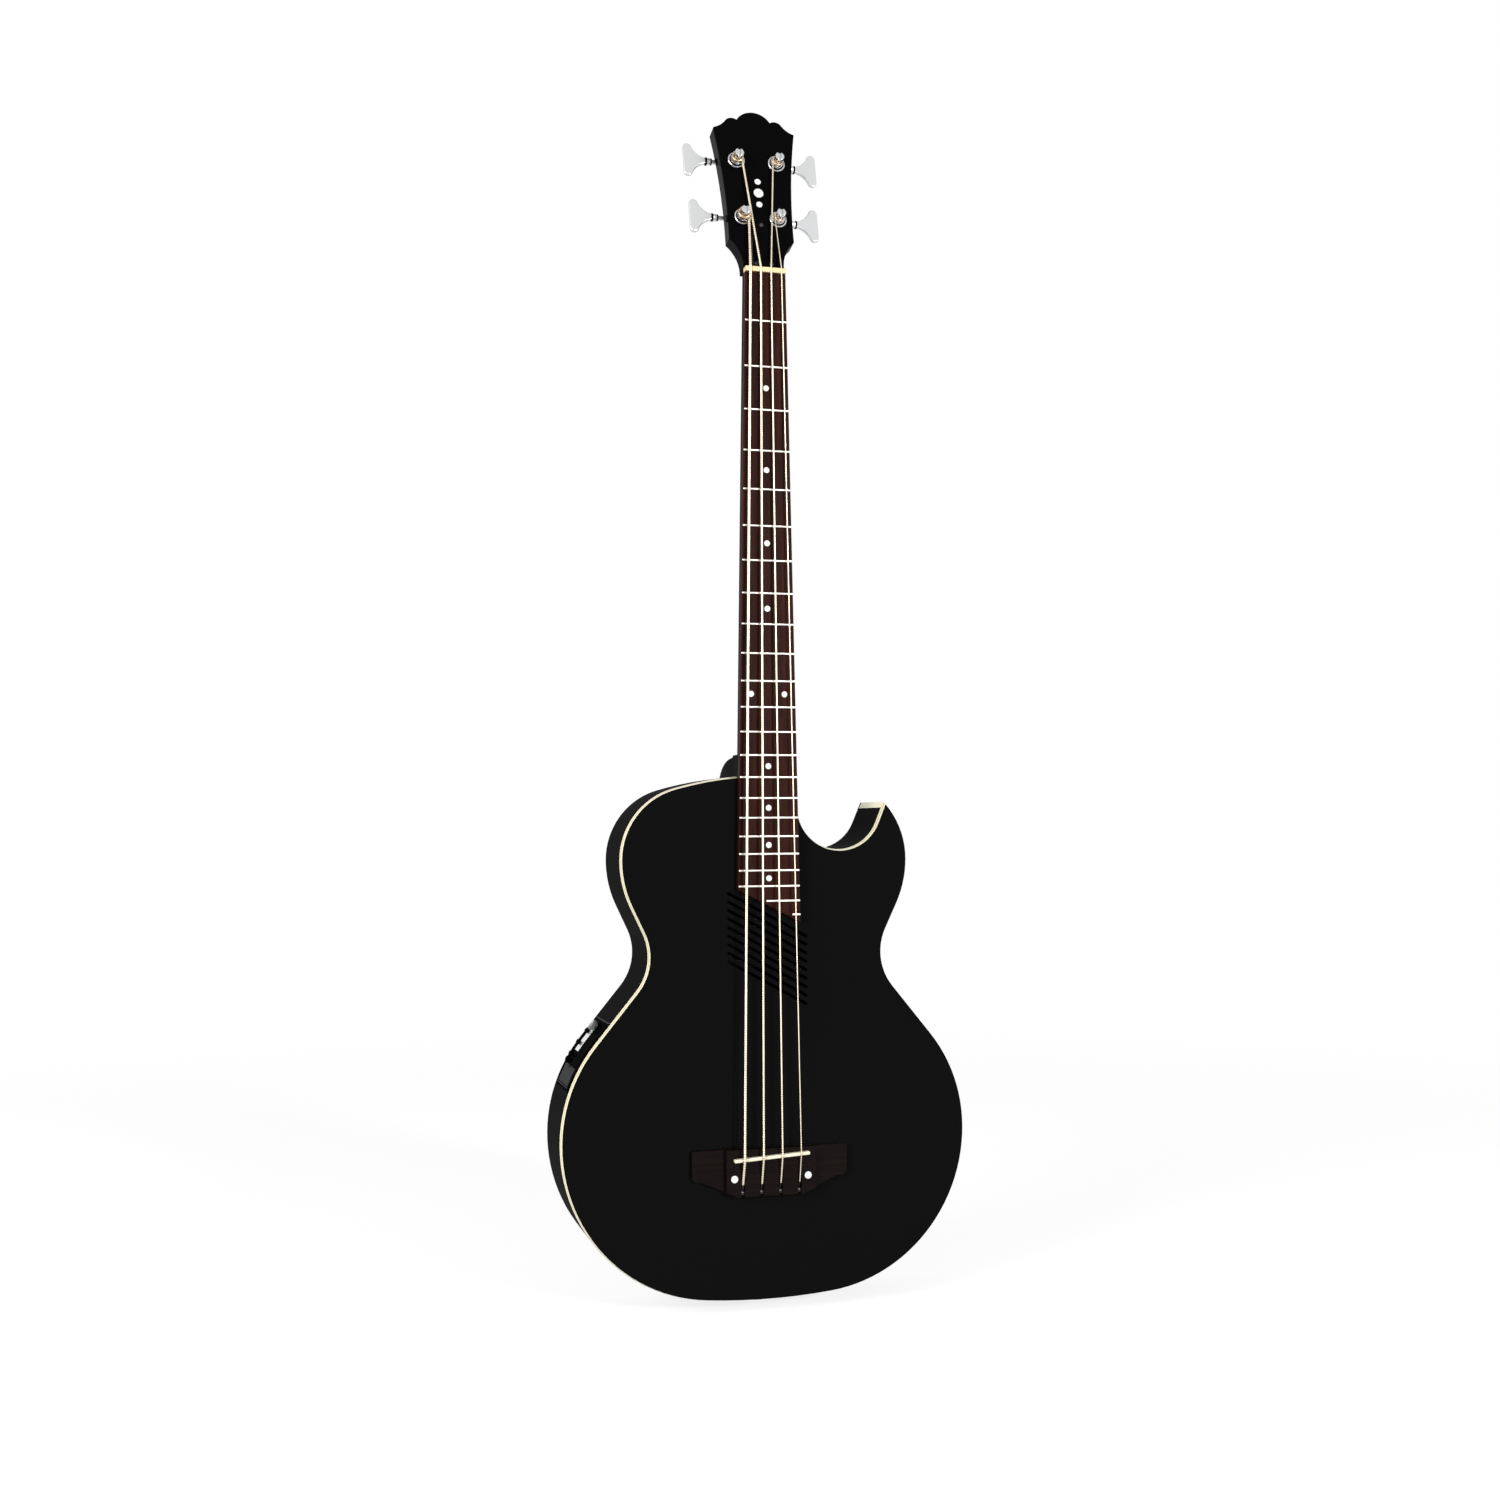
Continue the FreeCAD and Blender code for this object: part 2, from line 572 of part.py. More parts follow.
def lower_half_outline():
    """Treble side from the widest place of the upper bout down to the tail's corner."""
    waist = value("waist_turn")
    leave, enter = crossed_tangent(upper_centre, upper_turn, waist_centre, waist, 1)
    arrive, part = crossed_tangent(lower_centre, lower_turn, waist_centre, waist, -1)
    tail_angle = heading(tail_centre, corner_centre)
    return [
        arc(upper_centre, upper_turn, 0, heading(upper_centre, leave)),
        Part.LineSegment(leave, enter).toShape(),
        arc(waist_centre, waist, heading(waist_centre, enter) % 360,
            heading(waist_centre, part) % 360),
        Part.LineSegment(part, arrive).toShape(),
        arc(lower_centre, lower_turn, heading(lower_centre, arrive), 0),
        arc(corner_centre, corner_turn, 0, tail_angle),
    ]


def cutaway_outline():
    """From the widest place of the upper bout over the horn and down beside the neck."""
    way = horn_tip - cut_centre
    touch_angle = heading(cut_centre, horn_tip) - math.degrees(math.acos(cut_turn / way.Length))
    touch = polar(cut_centre, cut_turn, touch_angle)
    side = value("cut_side")
    crown = spot(side, crown_centre.z + math.sqrt(crown_turn ** 2 - side ** 2))
    return crown, [
        arc(horn_centre, horn_turn, 0, heading(horn_centre, horn_tip)),
        Part.LineSegment(horn_tip, touch).toShape(),
        arc(cut_centre, cut_turn, touch_angle, -180),
        Part.LineSegment(spot(side, cut_centre.z), crown).toShape(),
    ]


crown_corner, cutaway_edges = cutaway_outline()
lower_edges = lower_half_outline()
shoulder_angle = heading(crown_centre, shoulder_centre)
tail_angle = heading(tail_centre, corner_centre)
outline_edges = lower_edges + [flipped(edge) for edge in lower_edges] + cutaway_edges + [
    arc(crown_centre, crown_turn, heading(crown_centre, crown_corner), shoulder_angle),
    arc(shoulder_centre, shoulder_turn, shoulder_angle, 180),
    arc(tail_centre, tail_turn, tail_angle, -180 - tail_angle),
]
outline = Part.Face(Part.Wire(Part.__sortEdges__(outline_edges)))
print("outline area", round(outline.Area), "valid", outline.isValid())
insets = {0: outline}


def slab(inset, front, rear):
    """The body's outline, moved in by inset and as thick as from front to rear."""
    if inset not in insets:
        insets[inset] = outline.makeOffset2D(-inset, 2)
    face = insets[inset].copy()
    face.translate(Vector(0, front, 0))
    return face.extrude(Vector(0, rear - front, 0))


TOP = value("top_thick")
WALL = value("rim_wall")
DEPTH = value("tail_depth")
OVER = value("overrun")
back_line = Vector(0, value("heel_depth - tail_depth"), LENGTH)


def back_drum(inset):
    """The space in front of the arched back's outer face, moved in by inset."""
    along = Vector(back_line).normalize()
    inward = Vector(0, -along.z, along.y)
    radius = value("back_turn")
    base = Vector(0, DEPTH, 0) + inward * radius - along * LENGTH
    return Part.makeCylinder(radius - inset, LENGTH * 3, base, along)


outer_drum = back_drum(0)
back_inside = back_drum(value("back_thick"))
lining_drum = back_drum(value("back_thick + lining_tall"))
brace_drum = back_drum(value("back_thick + brace_tall"))


def block(x_low, x_high, y_low, y_high, z_low, z_high):
    return Part.makeBox(x_high - x_low, y_high - y_low, z_high - z_low, Vector(x_low, y_low, z_low))


def between(height):
    """A block as wide and deep as the body, between two heights."""
    half = value("lower_half") * 2
    return block(-half, half, -DEPTH, DEPTH * 2, height[0], height[1])


# Preamp places: the side's outline at a height on the bass side

def side_place(height):
    """The bass side's outer face at a height: its X and the direction that it faces, in degrees."""
    sections = outline.OuterWire
    half = value("lower_half") * 2
    probe = Part.LineSegment(spot(-half, height), spot(0, height)).toShape()
    gap, pairs, info = sections.distToShape(probe)
    place = min((pair[0] for pair in pairs), key=lambda found: found.x)
    edge = min(sections.Edges, key=lambda item: item.distToShape(Part.Vertex(place))[0])
    along = edge.tangentAt(edge.Curve.parameter(place))
    outward = Vector(-abs(along.z), 0, 0)
    outward.z = abs(along.x) if height > LOWER else -abs(along.x)
    return place, outward


frame_high = value(PREAMP_TOP)
frame_low = frame_high - value("preamp_tall")
frame_front = value("preamp_front")
frame_rear = value("preamp_front + preamp_deep")
LIP = value("preamp_lip")
GAP = value("fit_gap")
far_side = -value("lower_half") * 2
# The box reaches in as far as the knob's stem needs at its top, and the battery behind its door
BATTERY_START = value("door_tall / 4 + door_thick * 3")
pod_inside = max(side_place(frame_high)[0].x + value("pod_reach"),
                 side_place(frame_high - value("door_drop"))[0].x + BATTERY_START
                 + value("battery_wide + preamp_lip"))


def preamp_space(margin):
    """The block inside the preamp frame's lip, drawn in by margin."""
    return block(far_side, pod_inside + (OVER if margin == 0 else 0), frame_front + LIP + margin,
                 frame_rear - LIP - margin, frame_low + LIP + margin, frame_high - LIP - margin)


def turned_to(outward, place):
    """A frame on the side: X out of the side, Y to the back, Z up along the side."""
    angle = math.degrees(math.atan2(outward.z, -outward.x))
    return Placement(place, Rotation(Vector(0, 1, 0), angle))


# The box of the body

def jack_hole():
    return Part.makeCylinder(value("jack_radius") + GAP, value("tail_block_tall") * 3,
                             Vector(0, DEPTH / 2, -value("tail_block_tall")))


def sound_slots():
    """The slots, sloped like the fingerboard's end and repeated down the soundboard."""
    slope = value("slot_slope")
    wide = value("slot_wide")
    straight = value("slot_span") / math.cos(math.radians(slope)) - wide
    first = value(BOARD_END) - value("slot_gap")
    slots = []
    for number in range(int(value("slot_count"))):
        bar = Part.makeBox(straight, TOP + 2 * OVER, wide, Vector(-straight / 2, -OVER, -wide / 2))
        for end in (-straight / 2, straight / 2):
            bar = bar.fuse(Part.makeCylinder(wide / 2, TOP + 2 * OVER, Vector(end, -OVER, 0),
                                             Vector(0, 1, 0)))
        bar.rotate(Vector(), Vector(0, 1, 0), slope)
        bar.translate(Vector(0, 0, first - number * value("slot_step")))
        slots.append(bar)
    return slots


bolt_places = [(side * value("bolt_spread") / 2, value("saddle_height - bolt_back"))
               for side in (-1, 1)]
bolt_holes = [Part.makeCylinder(value("bolt_radius") + GAP, DEPTH,
                                Vector(x, -value("ridge_thick") - OVER, z), Vector(0, 1, 0))
              for x, z in bolt_places]
LEAD = value("lead_radius")
lead_hole = Part.makeCylinder(LEAD + GAP, DEPTH / 2,
                              Vector(0, -value("ridge_thick - saddle_seat"), value(SADDLE)),
                              Vector(0, 1, 0))

TOP_LIP = value("top_lip")
BINDING = value("binding_deep")


def slanted_rim(start):
    """The body's outline from start to the binding's foot, drawn in towards the soundboard."""
    inset = value("binding_draw") * (BINDING - start) / BINDING
    head = outline.makeOffset2D(-inset, 2).OuterWire
    head.translate(Vector(0, start, 0))
    foot = outline.OuterWire.copy()
    foot.translate(Vector(0, BINDING, 0))
    return Part.makeLoft([head, foot], True, True)


slanted = slanted_rim(-OVER)
soundboard = slab(0, 0, TOP_LIP).common(slanted).fuse(slab(WALL, 0, TOP)).removeSplitter()
feature("soundboard", soundboard.cut(sound_slots() + bolt_holes + [lead_hole]))

tip_strip = slab(0, BINDING, DEPTH * 2).cut(
    slab(value("tip_thick"), BINDING - OVER, DEPTH * 2 + OVER))
tip_strip = tip_strip.common(between((horn_tip.z - value("tip_strip"), horn_tip.z + OVER)))
tip_strip = tip_strip.common(block(value("cut_side * 2"), value("upper_half"), 0, DEPTH * 2,
                                   UPPER, LENGTH)).common(back_inside)
binding = slab(0, TOP_LIP, BINDING).common(slanted).cut(slab(WALL, -OVER, BINDING + OVER))
feature("body_binding", binding.fuse(tip_strip))

rim = slab(0, BINDING, DEPTH * 2).cut(slab(WALL, BINDING - OVER, DEPTH * 2 + OVER))
rim = rim.common(back_inside).cut([tip_strip, jack_hole(), preamp_space(0)])
feature("bass_side", rim.common(block(far_side, 0, 0, DEPTH * 2, -DEPTH, LENGTH * 2)))
feature("treble_side", rim.common(block(0, -far_side, 0, DEPTH * 2, -DEPTH, LENGTH * 2)))

strap_place = spot(0, value(STRAP_HEIGHT))
strap_place.y = DEPTH + back_line.y * strap_place.z / LENGTH
strap_seat = Placement(strap_place, Rotation(Vector(0, 1, 0), Vector(0, LENGTH, -back_line.y)))
strap_way = strap_seat.Rotation.multVec(Vector(0, 1, 0))
strap_hole = Part.makeCylinder(value("screw_radius") + GAP, DEPTH,
                               strap_place - strap_way * value("strap_long * 2"), strap_way)
feature("back", slab(0, 0, DEPTH * 2).common(outer_drum).cut([back_inside, strap_hole]))

inside = slab(WALL, TOP, DEPTH * 2).common(back_inside)
neck_block = inside.common(block(-value("block_half"), value("block_half + lining_wide"), 0,
                                 DEPTH * 2, LENGTH - value("block_tall"), LENGTH * 2))
tail_block = inside.common(block(-value("tail_block_half"), value("tail_block_half"), 0,
                                 DEPTH * 2, -OVER, value("tail_block_tall")))
feature("neck_block", neck_block.cut([strap_hole]))
feature("tail_block", tail_block.cut([jack_hole()]))

lining_inside = slab(value("rim_wall + lining_wide"), TOP - OVER, DEPTH * 2)
lining = slab(WALL, TOP, DEPTH * 2).common(back_inside).cut([lining_inside])
blocks = [neck_block, tail_block, preamp_space(-LIP / 2)]
front_lining = lining.common(block(far_side, -far_side, TOP, TOP + value("lining_tall"),
                                   -DEPTH, LENGTH * 2)).cut(blocks)
back_lining = lining.cut([lining_drum] + blocks)
feature("linings", Part.Compound(front_lining.Solids + back_lining.Solids))


def bar_on_top(middle, length, slope):
    """A brace under the soundboard, by its middle, length and slope in degrees."""
    wide = value("brace_wide")
    bar = Part.makeBox(length, value("brace_tall"), wide, Vector(-length / 2, TOP, -wide / 2))
    bar.rotate(Vector(), Vector(0, 1, 0), slope)
    bar.translate(middle)
    return bar


room = slab(value("rim_wall + lining_wide") + GAP, TOP, DEPTH)
cross_middle_share = 0.63
cross_slope = 52
long_bar = value("body_length")
cross_middle = spot(0, UPPER * cross_middle_share)
cross = bar_on_top(cross_middle, long_bar, cross_slope).fuse(
    bar_on_top(cross_middle, long_bar, -cross_slope))
slot_zone = between((value(BOARD_END + " - slot_gap - slot_step * slot_count - slot_span / 2"),
                     LENGTH))
cross = cross.cut(slot_zone.common(block(-value("slot_span * 3 / 4"), value("slot_span * 3 / 4"),
                                         0, DEPTH, cross_middle.z, LENGTH)))
shoulder_bar = bar_on_top(spot(0, value(BOARD_END + " + slot_span / 2 + slot_wide * 4")), long_bar,
                          0)
low_bar = bar_on_top(spot(0, LOWER * 2 / 5), value("lower_half"), 0)
patch_block = block(-value("patch_half") - GAP, value("patch_half") + GAP, TOP,
                    TOP + value("patch_thick"), value("saddle_height - patch_below"),
                    value("saddle_height + patch_above"))
braces = [brace.common(room).cut([patch_block, neck_block, tail_block, preamp_space(0)])
          for brace in (cross, shoulder_bar, low_bar)]
feature("top_braces", Part.Compound([solid for brace in braces for solid in brace.Solids]))

patch = block(-value("patch_half"), value("patch_half"), TOP, TOP + value("patch_thick"),
              value("saddle_height - patch_below"), value("saddle_height + patch_above"))
feature("bridge_plate", patch.cut(bolt_holes + [lead_hole]))

back_brace_shares = (0.16, 0.4, 0.62, 0.82)
back_room = inside.cut([brace_drum]).common(
    slab(value("rim_wall + lining_wide") + GAP, TOP, DEPTH * 2))
back_braces = []
for share in back_brace_shares:
    height = LENGTH * share
    brace = back_room.common(between((height, height + value("brace_wide"))))
    back_braces += brace.cut([neck_block, tail_block, preamp_space(0)]).Solids
feature("back_braces", Part.Compound(back_braces))

# The neck, its heel and the headstock's wood


def neck_section(body, name, height, half, depth):
    """A flat top, two straight cheeks and a round back."""
    sketch = sketch_on(body, "XY_Plane", name, height)
    sag = "(%s - neck_cheek)" % depth
    turn = "((%s) ^ 2 + %s ^ 2) / (2 * %s)" % (half, sag, sag)
    draw_path(sketch, [("0 - " + half, "0"), (half, "0"), (half, "neck_cheek"),
                       ("0 - " + half, "neck_cheek", turn, 1)])
    return sketch


SHAFT_FOOT = "(body_length - heel_tall / 2)"
ROD_END = "(saddle_height + scale_length + nut_thick + rod_above)"
shaft = doc.addObject("PartDesign::Body", "neck_shaft")
low_section = neck_section(shaft, "heel_section", SHAFT_FOOT, board_half(SHAFT_FOOT),
                           "neck_heel_depth")
high_section = neck_section(shaft, "nut_section", NUT_BACK, "head_neck_half", "neck_nut_depth")
loft = shaft.newObject("PartDesign::AdditiveLoft", "neck_loft")
loft.Profile = low_section
loft.Sections = [high_section]
loft.Ruled = True

HEEL_HALF = board_half("body_length")
HEEL_TOP = "(body_length + heel_tall)"
heel_side = padded("heel_side", "YZ_Plane", [
    ("0", SHAFT_FOOT),
    ("heel_depth - back_thick / 2", SHAFT_FOOT),
    ("heel_depth - back_thick / 2", "body_length"),
    ("neck_heel_depth * 6 / 5", "body_length + heel_tall * 7 / 8", "heel_arc", 1),
    ("neck_heel_depth - neck_cheek / 3", HEEL_TOP, "heel_tall / 3", -1),
    ("0", HEEL_TOP)], "nut_width * 2", both_ways=True)
heel_plan = padded("heel_plan", "XY_Plane", [
    ("0 - " + HEEL_HALF, "0"),
    (HEEL_HALF, "0"),
    (HEEL_HALF, "neck_heel_depth"),
    ("heel_cap_half", "heel_depth", "heel_depth * 4", 1),
    ("0 - heel_cap_half", "heel_depth"),
    ("0 - " + HEEL_HALF, "neck_heel_depth", "heel_depth * 4", 1)],
    "heel_tall * 2", offset=SHAFT_FOOT)
heel = doc.addObject("Part::Common", "neck_heel")
heel.Base = heel_side
heel.Tool = heel_plan


def head_corners(foot):
    """The headstock's outline, from its foot round the crest and back."""
    side = [
        ("head_low_half", "head_low", "neck_scoop_turn", -1),
        ("head_top_half", "head_long", "head_side_turn", -1),
        ("lobe_half", "head_long + lobe_foot", "scoop_turn", -1),
        ("crest_half", "head_long + crest_foot", "lobe_turn", 1)]
    mirror = [
        ("0 - crest_half", "head_long + crest_foot", "crest_turn", 1),
        ("0 - lobe_half", "head_long + lobe_foot", "lobe_turn", 1),
        ("0 - head_top_half", "head_long", "scoop_turn", -1),
        ("0 - head_low_half", "head_low", "head_side_turn", -1),
        ("0 - head_neck_half", foot, "neck_scoop_turn", -1)]
    return [("head_neck_half", foot)] + side + mirror


head_plate = padded("head_plate", "XZ_Plane", head_corners("0"), "head_thick",
                    offset="0 - veneer_thick - head_thick")
head_plate.Placement = head_in_neck()
neck_wood = union("neck_wood", [shaft, heel, head_plate])

TUNERS = {
    "e": (-1, "lower_post_half", "lower_post_height"),
    "a": (-1, "upper_post_half", "upper_post_height"),
    "d": (1, "upper_post_half", "upper_post_height"),
    "g": (1, "lower_post_half", "lower_post_height"),
}


def across(side, text):
    return text if side > 0 else "0 - (%s)" % text


def head_tools(name):
    """Bores for the bushings and screws, and the pocket over the truss rod's nut."""
    tools = []
    for letter, (side, half, height) in TUNERS.items():
        post = across(side, half)
        tools.append(rod("%s_bore_%s" % (name, letter), "sleeve_radius + fit_gap",
                         "veneer_thick + head_thick + overrun * 2", (post, "0 - overrun", height),
                         (0, 1, 0)))
    tools.append(box(name + "_pocket",
                     ("0 - cover_pocket_half", "0 - overrun", "0 - overrun"),
                     ("cover_pocket_half * 2", "overrun + veneer_thick + rod_nut_radius * 3",
                      "cover_pocket_long + overrun")))
    return tools


def plate_screw_places():
    """Two screws in each tuner plate, clear of the gear and the worm."""
    places = []
    for letter, (side, half, height) in TUNERS.items():
        for lift in ("plate_above - screw_head * 3 / 2", "screw_head * 3 / 2 - plate_below"):
            places.append((across(side, half), "%s + %s" % (height, lift)))
    return places


def cover_screw_places():
    return [("0", "cover_lift + cover_long - screw_head * 2"),
            ("cover_half - screw_head * 3 / 2", "cover_lift + screw_head * 3 / 2"),
            ("screw_head * 3 / 2 - cover_half", "cover_lift + screw_head * 3 / 2")]


screw_bores = [rod("plate_screw_bore_%d" % number, "screw_radius + fit_gap", "screw_long",
                   (x, HEAD_BACK + " + overrun", z), (0, -1, 0))
               for number, (x, z) in enumerate(plate_screw_places())]
cover_bores = [rod("cover_screw_bore_%d" % number, "screw_radius + fit_gap", "screw_long",
                   (x, "0 - overrun", z), (0, 1, 0))
               for number, (x, z) in enumerate(cover_screw_places())]
inlay_dots = [("low", "inlay_height - inlay_step", "inlay_small"),
              ("middle", "inlay_height", "inlay_radius"),
              ("high", "inlay_height + inlay_step", "inlay_small")]

neck_tools = union("neck_tools", head_tools("neck") + screw_bores + cover_bores)
neck_tools.Placement = head_in_neck()
nut_room = box("nut_room", ("0 - nut_width", "0 - board_thick", NUT),
               ("nut_width * 2", "board_thick", "nut_thick"))
rod_room = rod("rod_room", "rod_radius + fit_gap", "%s - %s + overrun" % (ROD_END, SHAFT_FOOT),
               ("0", "rod_sunk", SHAFT_FOOT))
body_room = doc.addObject("Part::Feature", "body_room")
body_room.Shape = slab(0, BINDING, DEPTH * 2).fuse(slanted).removeSplitter()
neck = without("neck_cut", neck_wood, [neck_tools, nut_room, rod_room, body_room])
deliver(neck, "neck")

veneer = padded("veneer_plate", "XZ_Plane", head_corners("veneer_thick * tan(head_tilt)"),
                "veneer_thick", offset="0 - veneer_thick")
inlay_rooms = [rod("inlay_room_" + name, radius + " + fit_gap / 5", "inlay_thick + overrun",
                   ("0", "0 - overrun", height), (0, 1, 0)) for name, height, radius in inlay_dots]
veneer_cut = without("veneer_cut", veneer, head_tools("veneer") + [
    rod("veneer_screw_bore_%d" % number, "screw_radius + fit_gap", "screw_long",
        (x, "0 - overrun", z), (0, 1, 0)) for number, (x, z) in enumerate(cover_screw_places())]
    + inlay_rooms)
deliver(veneer_cut, "headstock_face", head_placement())

# Three round dots in a column, in the place of the inlay
inlay = group("inlay_dots", [rod("inlay_" + name, radius, "inlay_thick", ("0", "0", height),
                                 (0, 1, 0)) for name, height, radius in inlay_dots])
deliver(inlay, "headstock_inlay", head_placement())

# Fingerboard, frets, dots and nut

board_tan = "tan(board_slope)"
END_LEFT = "(%s + %s * %s)" % (BOARD_END, board_half(BOARD_END), board_tan)
END_RIGHT = "(%s - %s * %s)" % (BOARD_END, board_half(BOARD_END), board_tan)
board = doc.addObject("PartDesign::Body", "board")
board_outline = sketch_on(board, "XZ_Plane", "board_outline")
draw_path(board_outline, [
    ("0 - nut_width / 2", NUT), ("nut_width / 2", NUT),
    (board_half(END_RIGHT), END_RIGHT), ("0 - " + board_half(END_LEFT), END_LEFT)])
board_pad = board.newObject("PartDesign::Pad", "board_pad")
board_pad.Profile = board_outline
bind(board_pad, "Length", "board_thick")


def between_frets(number):
    """Height of the middle of the space before a fret."""
    return "((%s + %s) / 2)" % (fret_height(number - 1), fret_height(number))


dot_places = [("0", between_frets(number)) for number in (3, 5, 7, 9, 15, 17, 19, 21)]
dot_places += [(side + "dot_spread / 2", between_frets(12)) for side in ("0 - ", "")]
board_cut = without("board_cut", board, [
    rod("dot_bore_%d" % number, "dot_radius + fit_gap / 5", "dot_thick + overrun",
        (x, "0 - board_thick - overrun", z), (0, 1, 0))
    for number, (x, z) in enumerate(dot_places)])
deliver(board_cut, "fingerboard")
dots = group("dot_group", [
    rod("dot_%d" % number, "dot_radius", "dot_thick", (x, "0 - board_thick", z), (0, 1, 0))
    for number, (x, z) in enumerate(dot_places)])
deliver(dots, "position_dots")


def fret_bar(number):
    """A crowned wire across the fingerboard, cut short where the board's end slopes."""
    height = value(fret_height(number))
    half = value(board_half(repr(height))) - value("fret_inset")
    low = -half
    slope = math.tan(math.radians(value("board_slope")))
    edge = height - value("fret_wide")
    low = max(low, (value(BOARD_END) - edge) / slope + value("fret_wide"))
    surface = -value("board_thick")
    wide = value("fret_wide") / 2
    foot = [Vector(low, surface, height - wide), Vector(low, surface, height + wide)]
    crown = Part.Arc(foot[0], Vector(low, surface - value("fret_tall"), height), foot[1])
    wire = Part.Wire([crown.toShape(), Part.LineSegment(foot[1], foot[0]).toShape()])
    return Part.Face(wire).extrude(Vector(half - low, 0, 0))


frets = [fret_bar(number + 1) for number in range(int(value("fret_count")))]
feature("frets", Part.Compound(frets))


def nut_x(number):
    return "(nut_spread * (%d / 3 - 1 / 2))" % number


def saddle_x(number):
    return "(saddle_spread * (%d / 3 - 1 / 2))" % number


NUT_SEAT = "(board_thick + nut_floor)"
BALL = "(saddle_height - ridge_low + ball_radius * 4 / 3)"
nut_bar = box("nut_bar", ("0 - nut_width / 2", "0 - board_thick - nut_rise", NUT),
              ("nut_width", "board_thick + nut_rise", "nut_thick"))
nut_slots = [box("nut_slot_" + letter,
                 ("%s - gauge_%s / 2 - fit_gap" % (nut_x(number), letter),
                  "0 - board_thick - nut_rise - overrun", NUT + " - overrun"),
                 ("gauge_%s + fit_gap * 2" % letter, "nut_rise - nut_floor + overrun + fit_gap",
                  "nut_thick + overrun * 2"))
             for number, letter in enumerate(STRINGS)]
deliver(without("nut_cut", nut_bar, nut_slots), "nut")

# Truss rod, its nut and its cover

ROD_FOOT = "(body_length + overrun)"
truss = rod("truss_bar", "rod_radius", "%s - %s" % (ROD_END, ROD_FOOT), ("0", "rod_sunk", ROD_FOOT))
thread = rod("truss_thread", "rod_radius - running_gap * 10", "rod_nut_long / 2 + moving_gap",
             ("0", "rod_sunk", ROD_END))
deliver(union("truss_union", [truss, thread]), "truss_rod")


def hexagon(name, radius, length, foot):
    item = doc.addObject("Part::Prism", name)
    item.Polygon = 6
    bind(item, "Circumradius", radius)
    bind(item, "Height", length)
    for axis, text in zip("xyz", foot):
        bind(item, "Placement.Base." + axis, text)
    return item


hex_nut = hexagon("truss_hex", "rod_nut_radius", "rod_nut_long",
                  ("0", "rod_sunk", ROD_END + " + moving_gap"))
hex_bore = rod("truss_hex_bore", "rod_radius - running_gap * 9", "rod_nut_long / 2 + moving_gap * 2",
               ("0", "rod_sunk", ROD_END))
hex_socket = hexagon("truss_socket", "rod_nut_radius / 2", "rod_nut_long / 3 + overrun",
                     ("0", "rod_sunk", ROD_END + " + moving_gap + rod_nut_long * 2 / 3"))
deliver(without("truss_nut_cut", hex_nut, [hex_bore, hex_socket]), "truss_nut")

cover_side = [
    ("cover_half", "cover_lift"),
    ("cover_waist_half", "cover_lift + cover_waist", "cover_long * 3", 1),
    ("0", "cover_lift + cover_long", "cover_waist_half * 2", 1)]
cover = padded("cover_plate", "XZ_Plane", cover_side + [
    ("0 - cover_waist_half", "cover_lift + cover_waist", "cover_waist_half * 2", 1),
    ("0 - cover_half", "cover_lift", "cover_long * 3", 1)], "cover_thick")
cover_cut = without("cover_cut", cover, [
    rod("cover_bore_%d" % number, "screw_radius + fit_gap", "cover_thick + overrun * 2",
        (x, "0 - cover_thick - overrun", z), (0, 1, 0))
    for number, (x, z) in enumerate(cover_screw_places())])
deliver(cover_cut, "truss_cover", head_placement())


def screw(name, x, surface, z, toward, long):
    """A small screw: a domed head on the surface and a shank that points along toward."""
    sign = toward[1]
    head = rod(name + "_head", "screw_head", "screw_head_thick",
               (x, surface, z), (0, -sign, 0), "screw_head * 3 / 5")
    shank = rod(name + "_shank", "screw_radius", long, (x, surface, z), toward)
    return union(name, [head, shank])


cover_screws = [screw("cover_screw_%d" % number, x, "0 - cover_thick", z, (0, 1, 0),
                      "cover_thick + screw_long - overrun * 2")
                for number, (x, z) in enumerate(cover_screw_places())]
deliver(group("cover_screws", cover_screws), "truss_cover_screws", head_placement())

# Tuning machines. Each is built about its own post, in the headstock's frame

PITCH = "(2 * pi * (gear_tip + gear_root) / 2 / gear_teeth)"
GEAR_FRONT = "(%s + plate_thick + gear_lift)" % HEAD_BACK
WORM_BACK = "(%s + gear_thick / 2)" % GEAR_FRONT


def tuner_placement(letter):
    side, half, height = TUNERS[letter]
    shift = Placement(Vector(side * value(half), 0, value(height)), Rotation())
    return head_placement().multiply(shift)


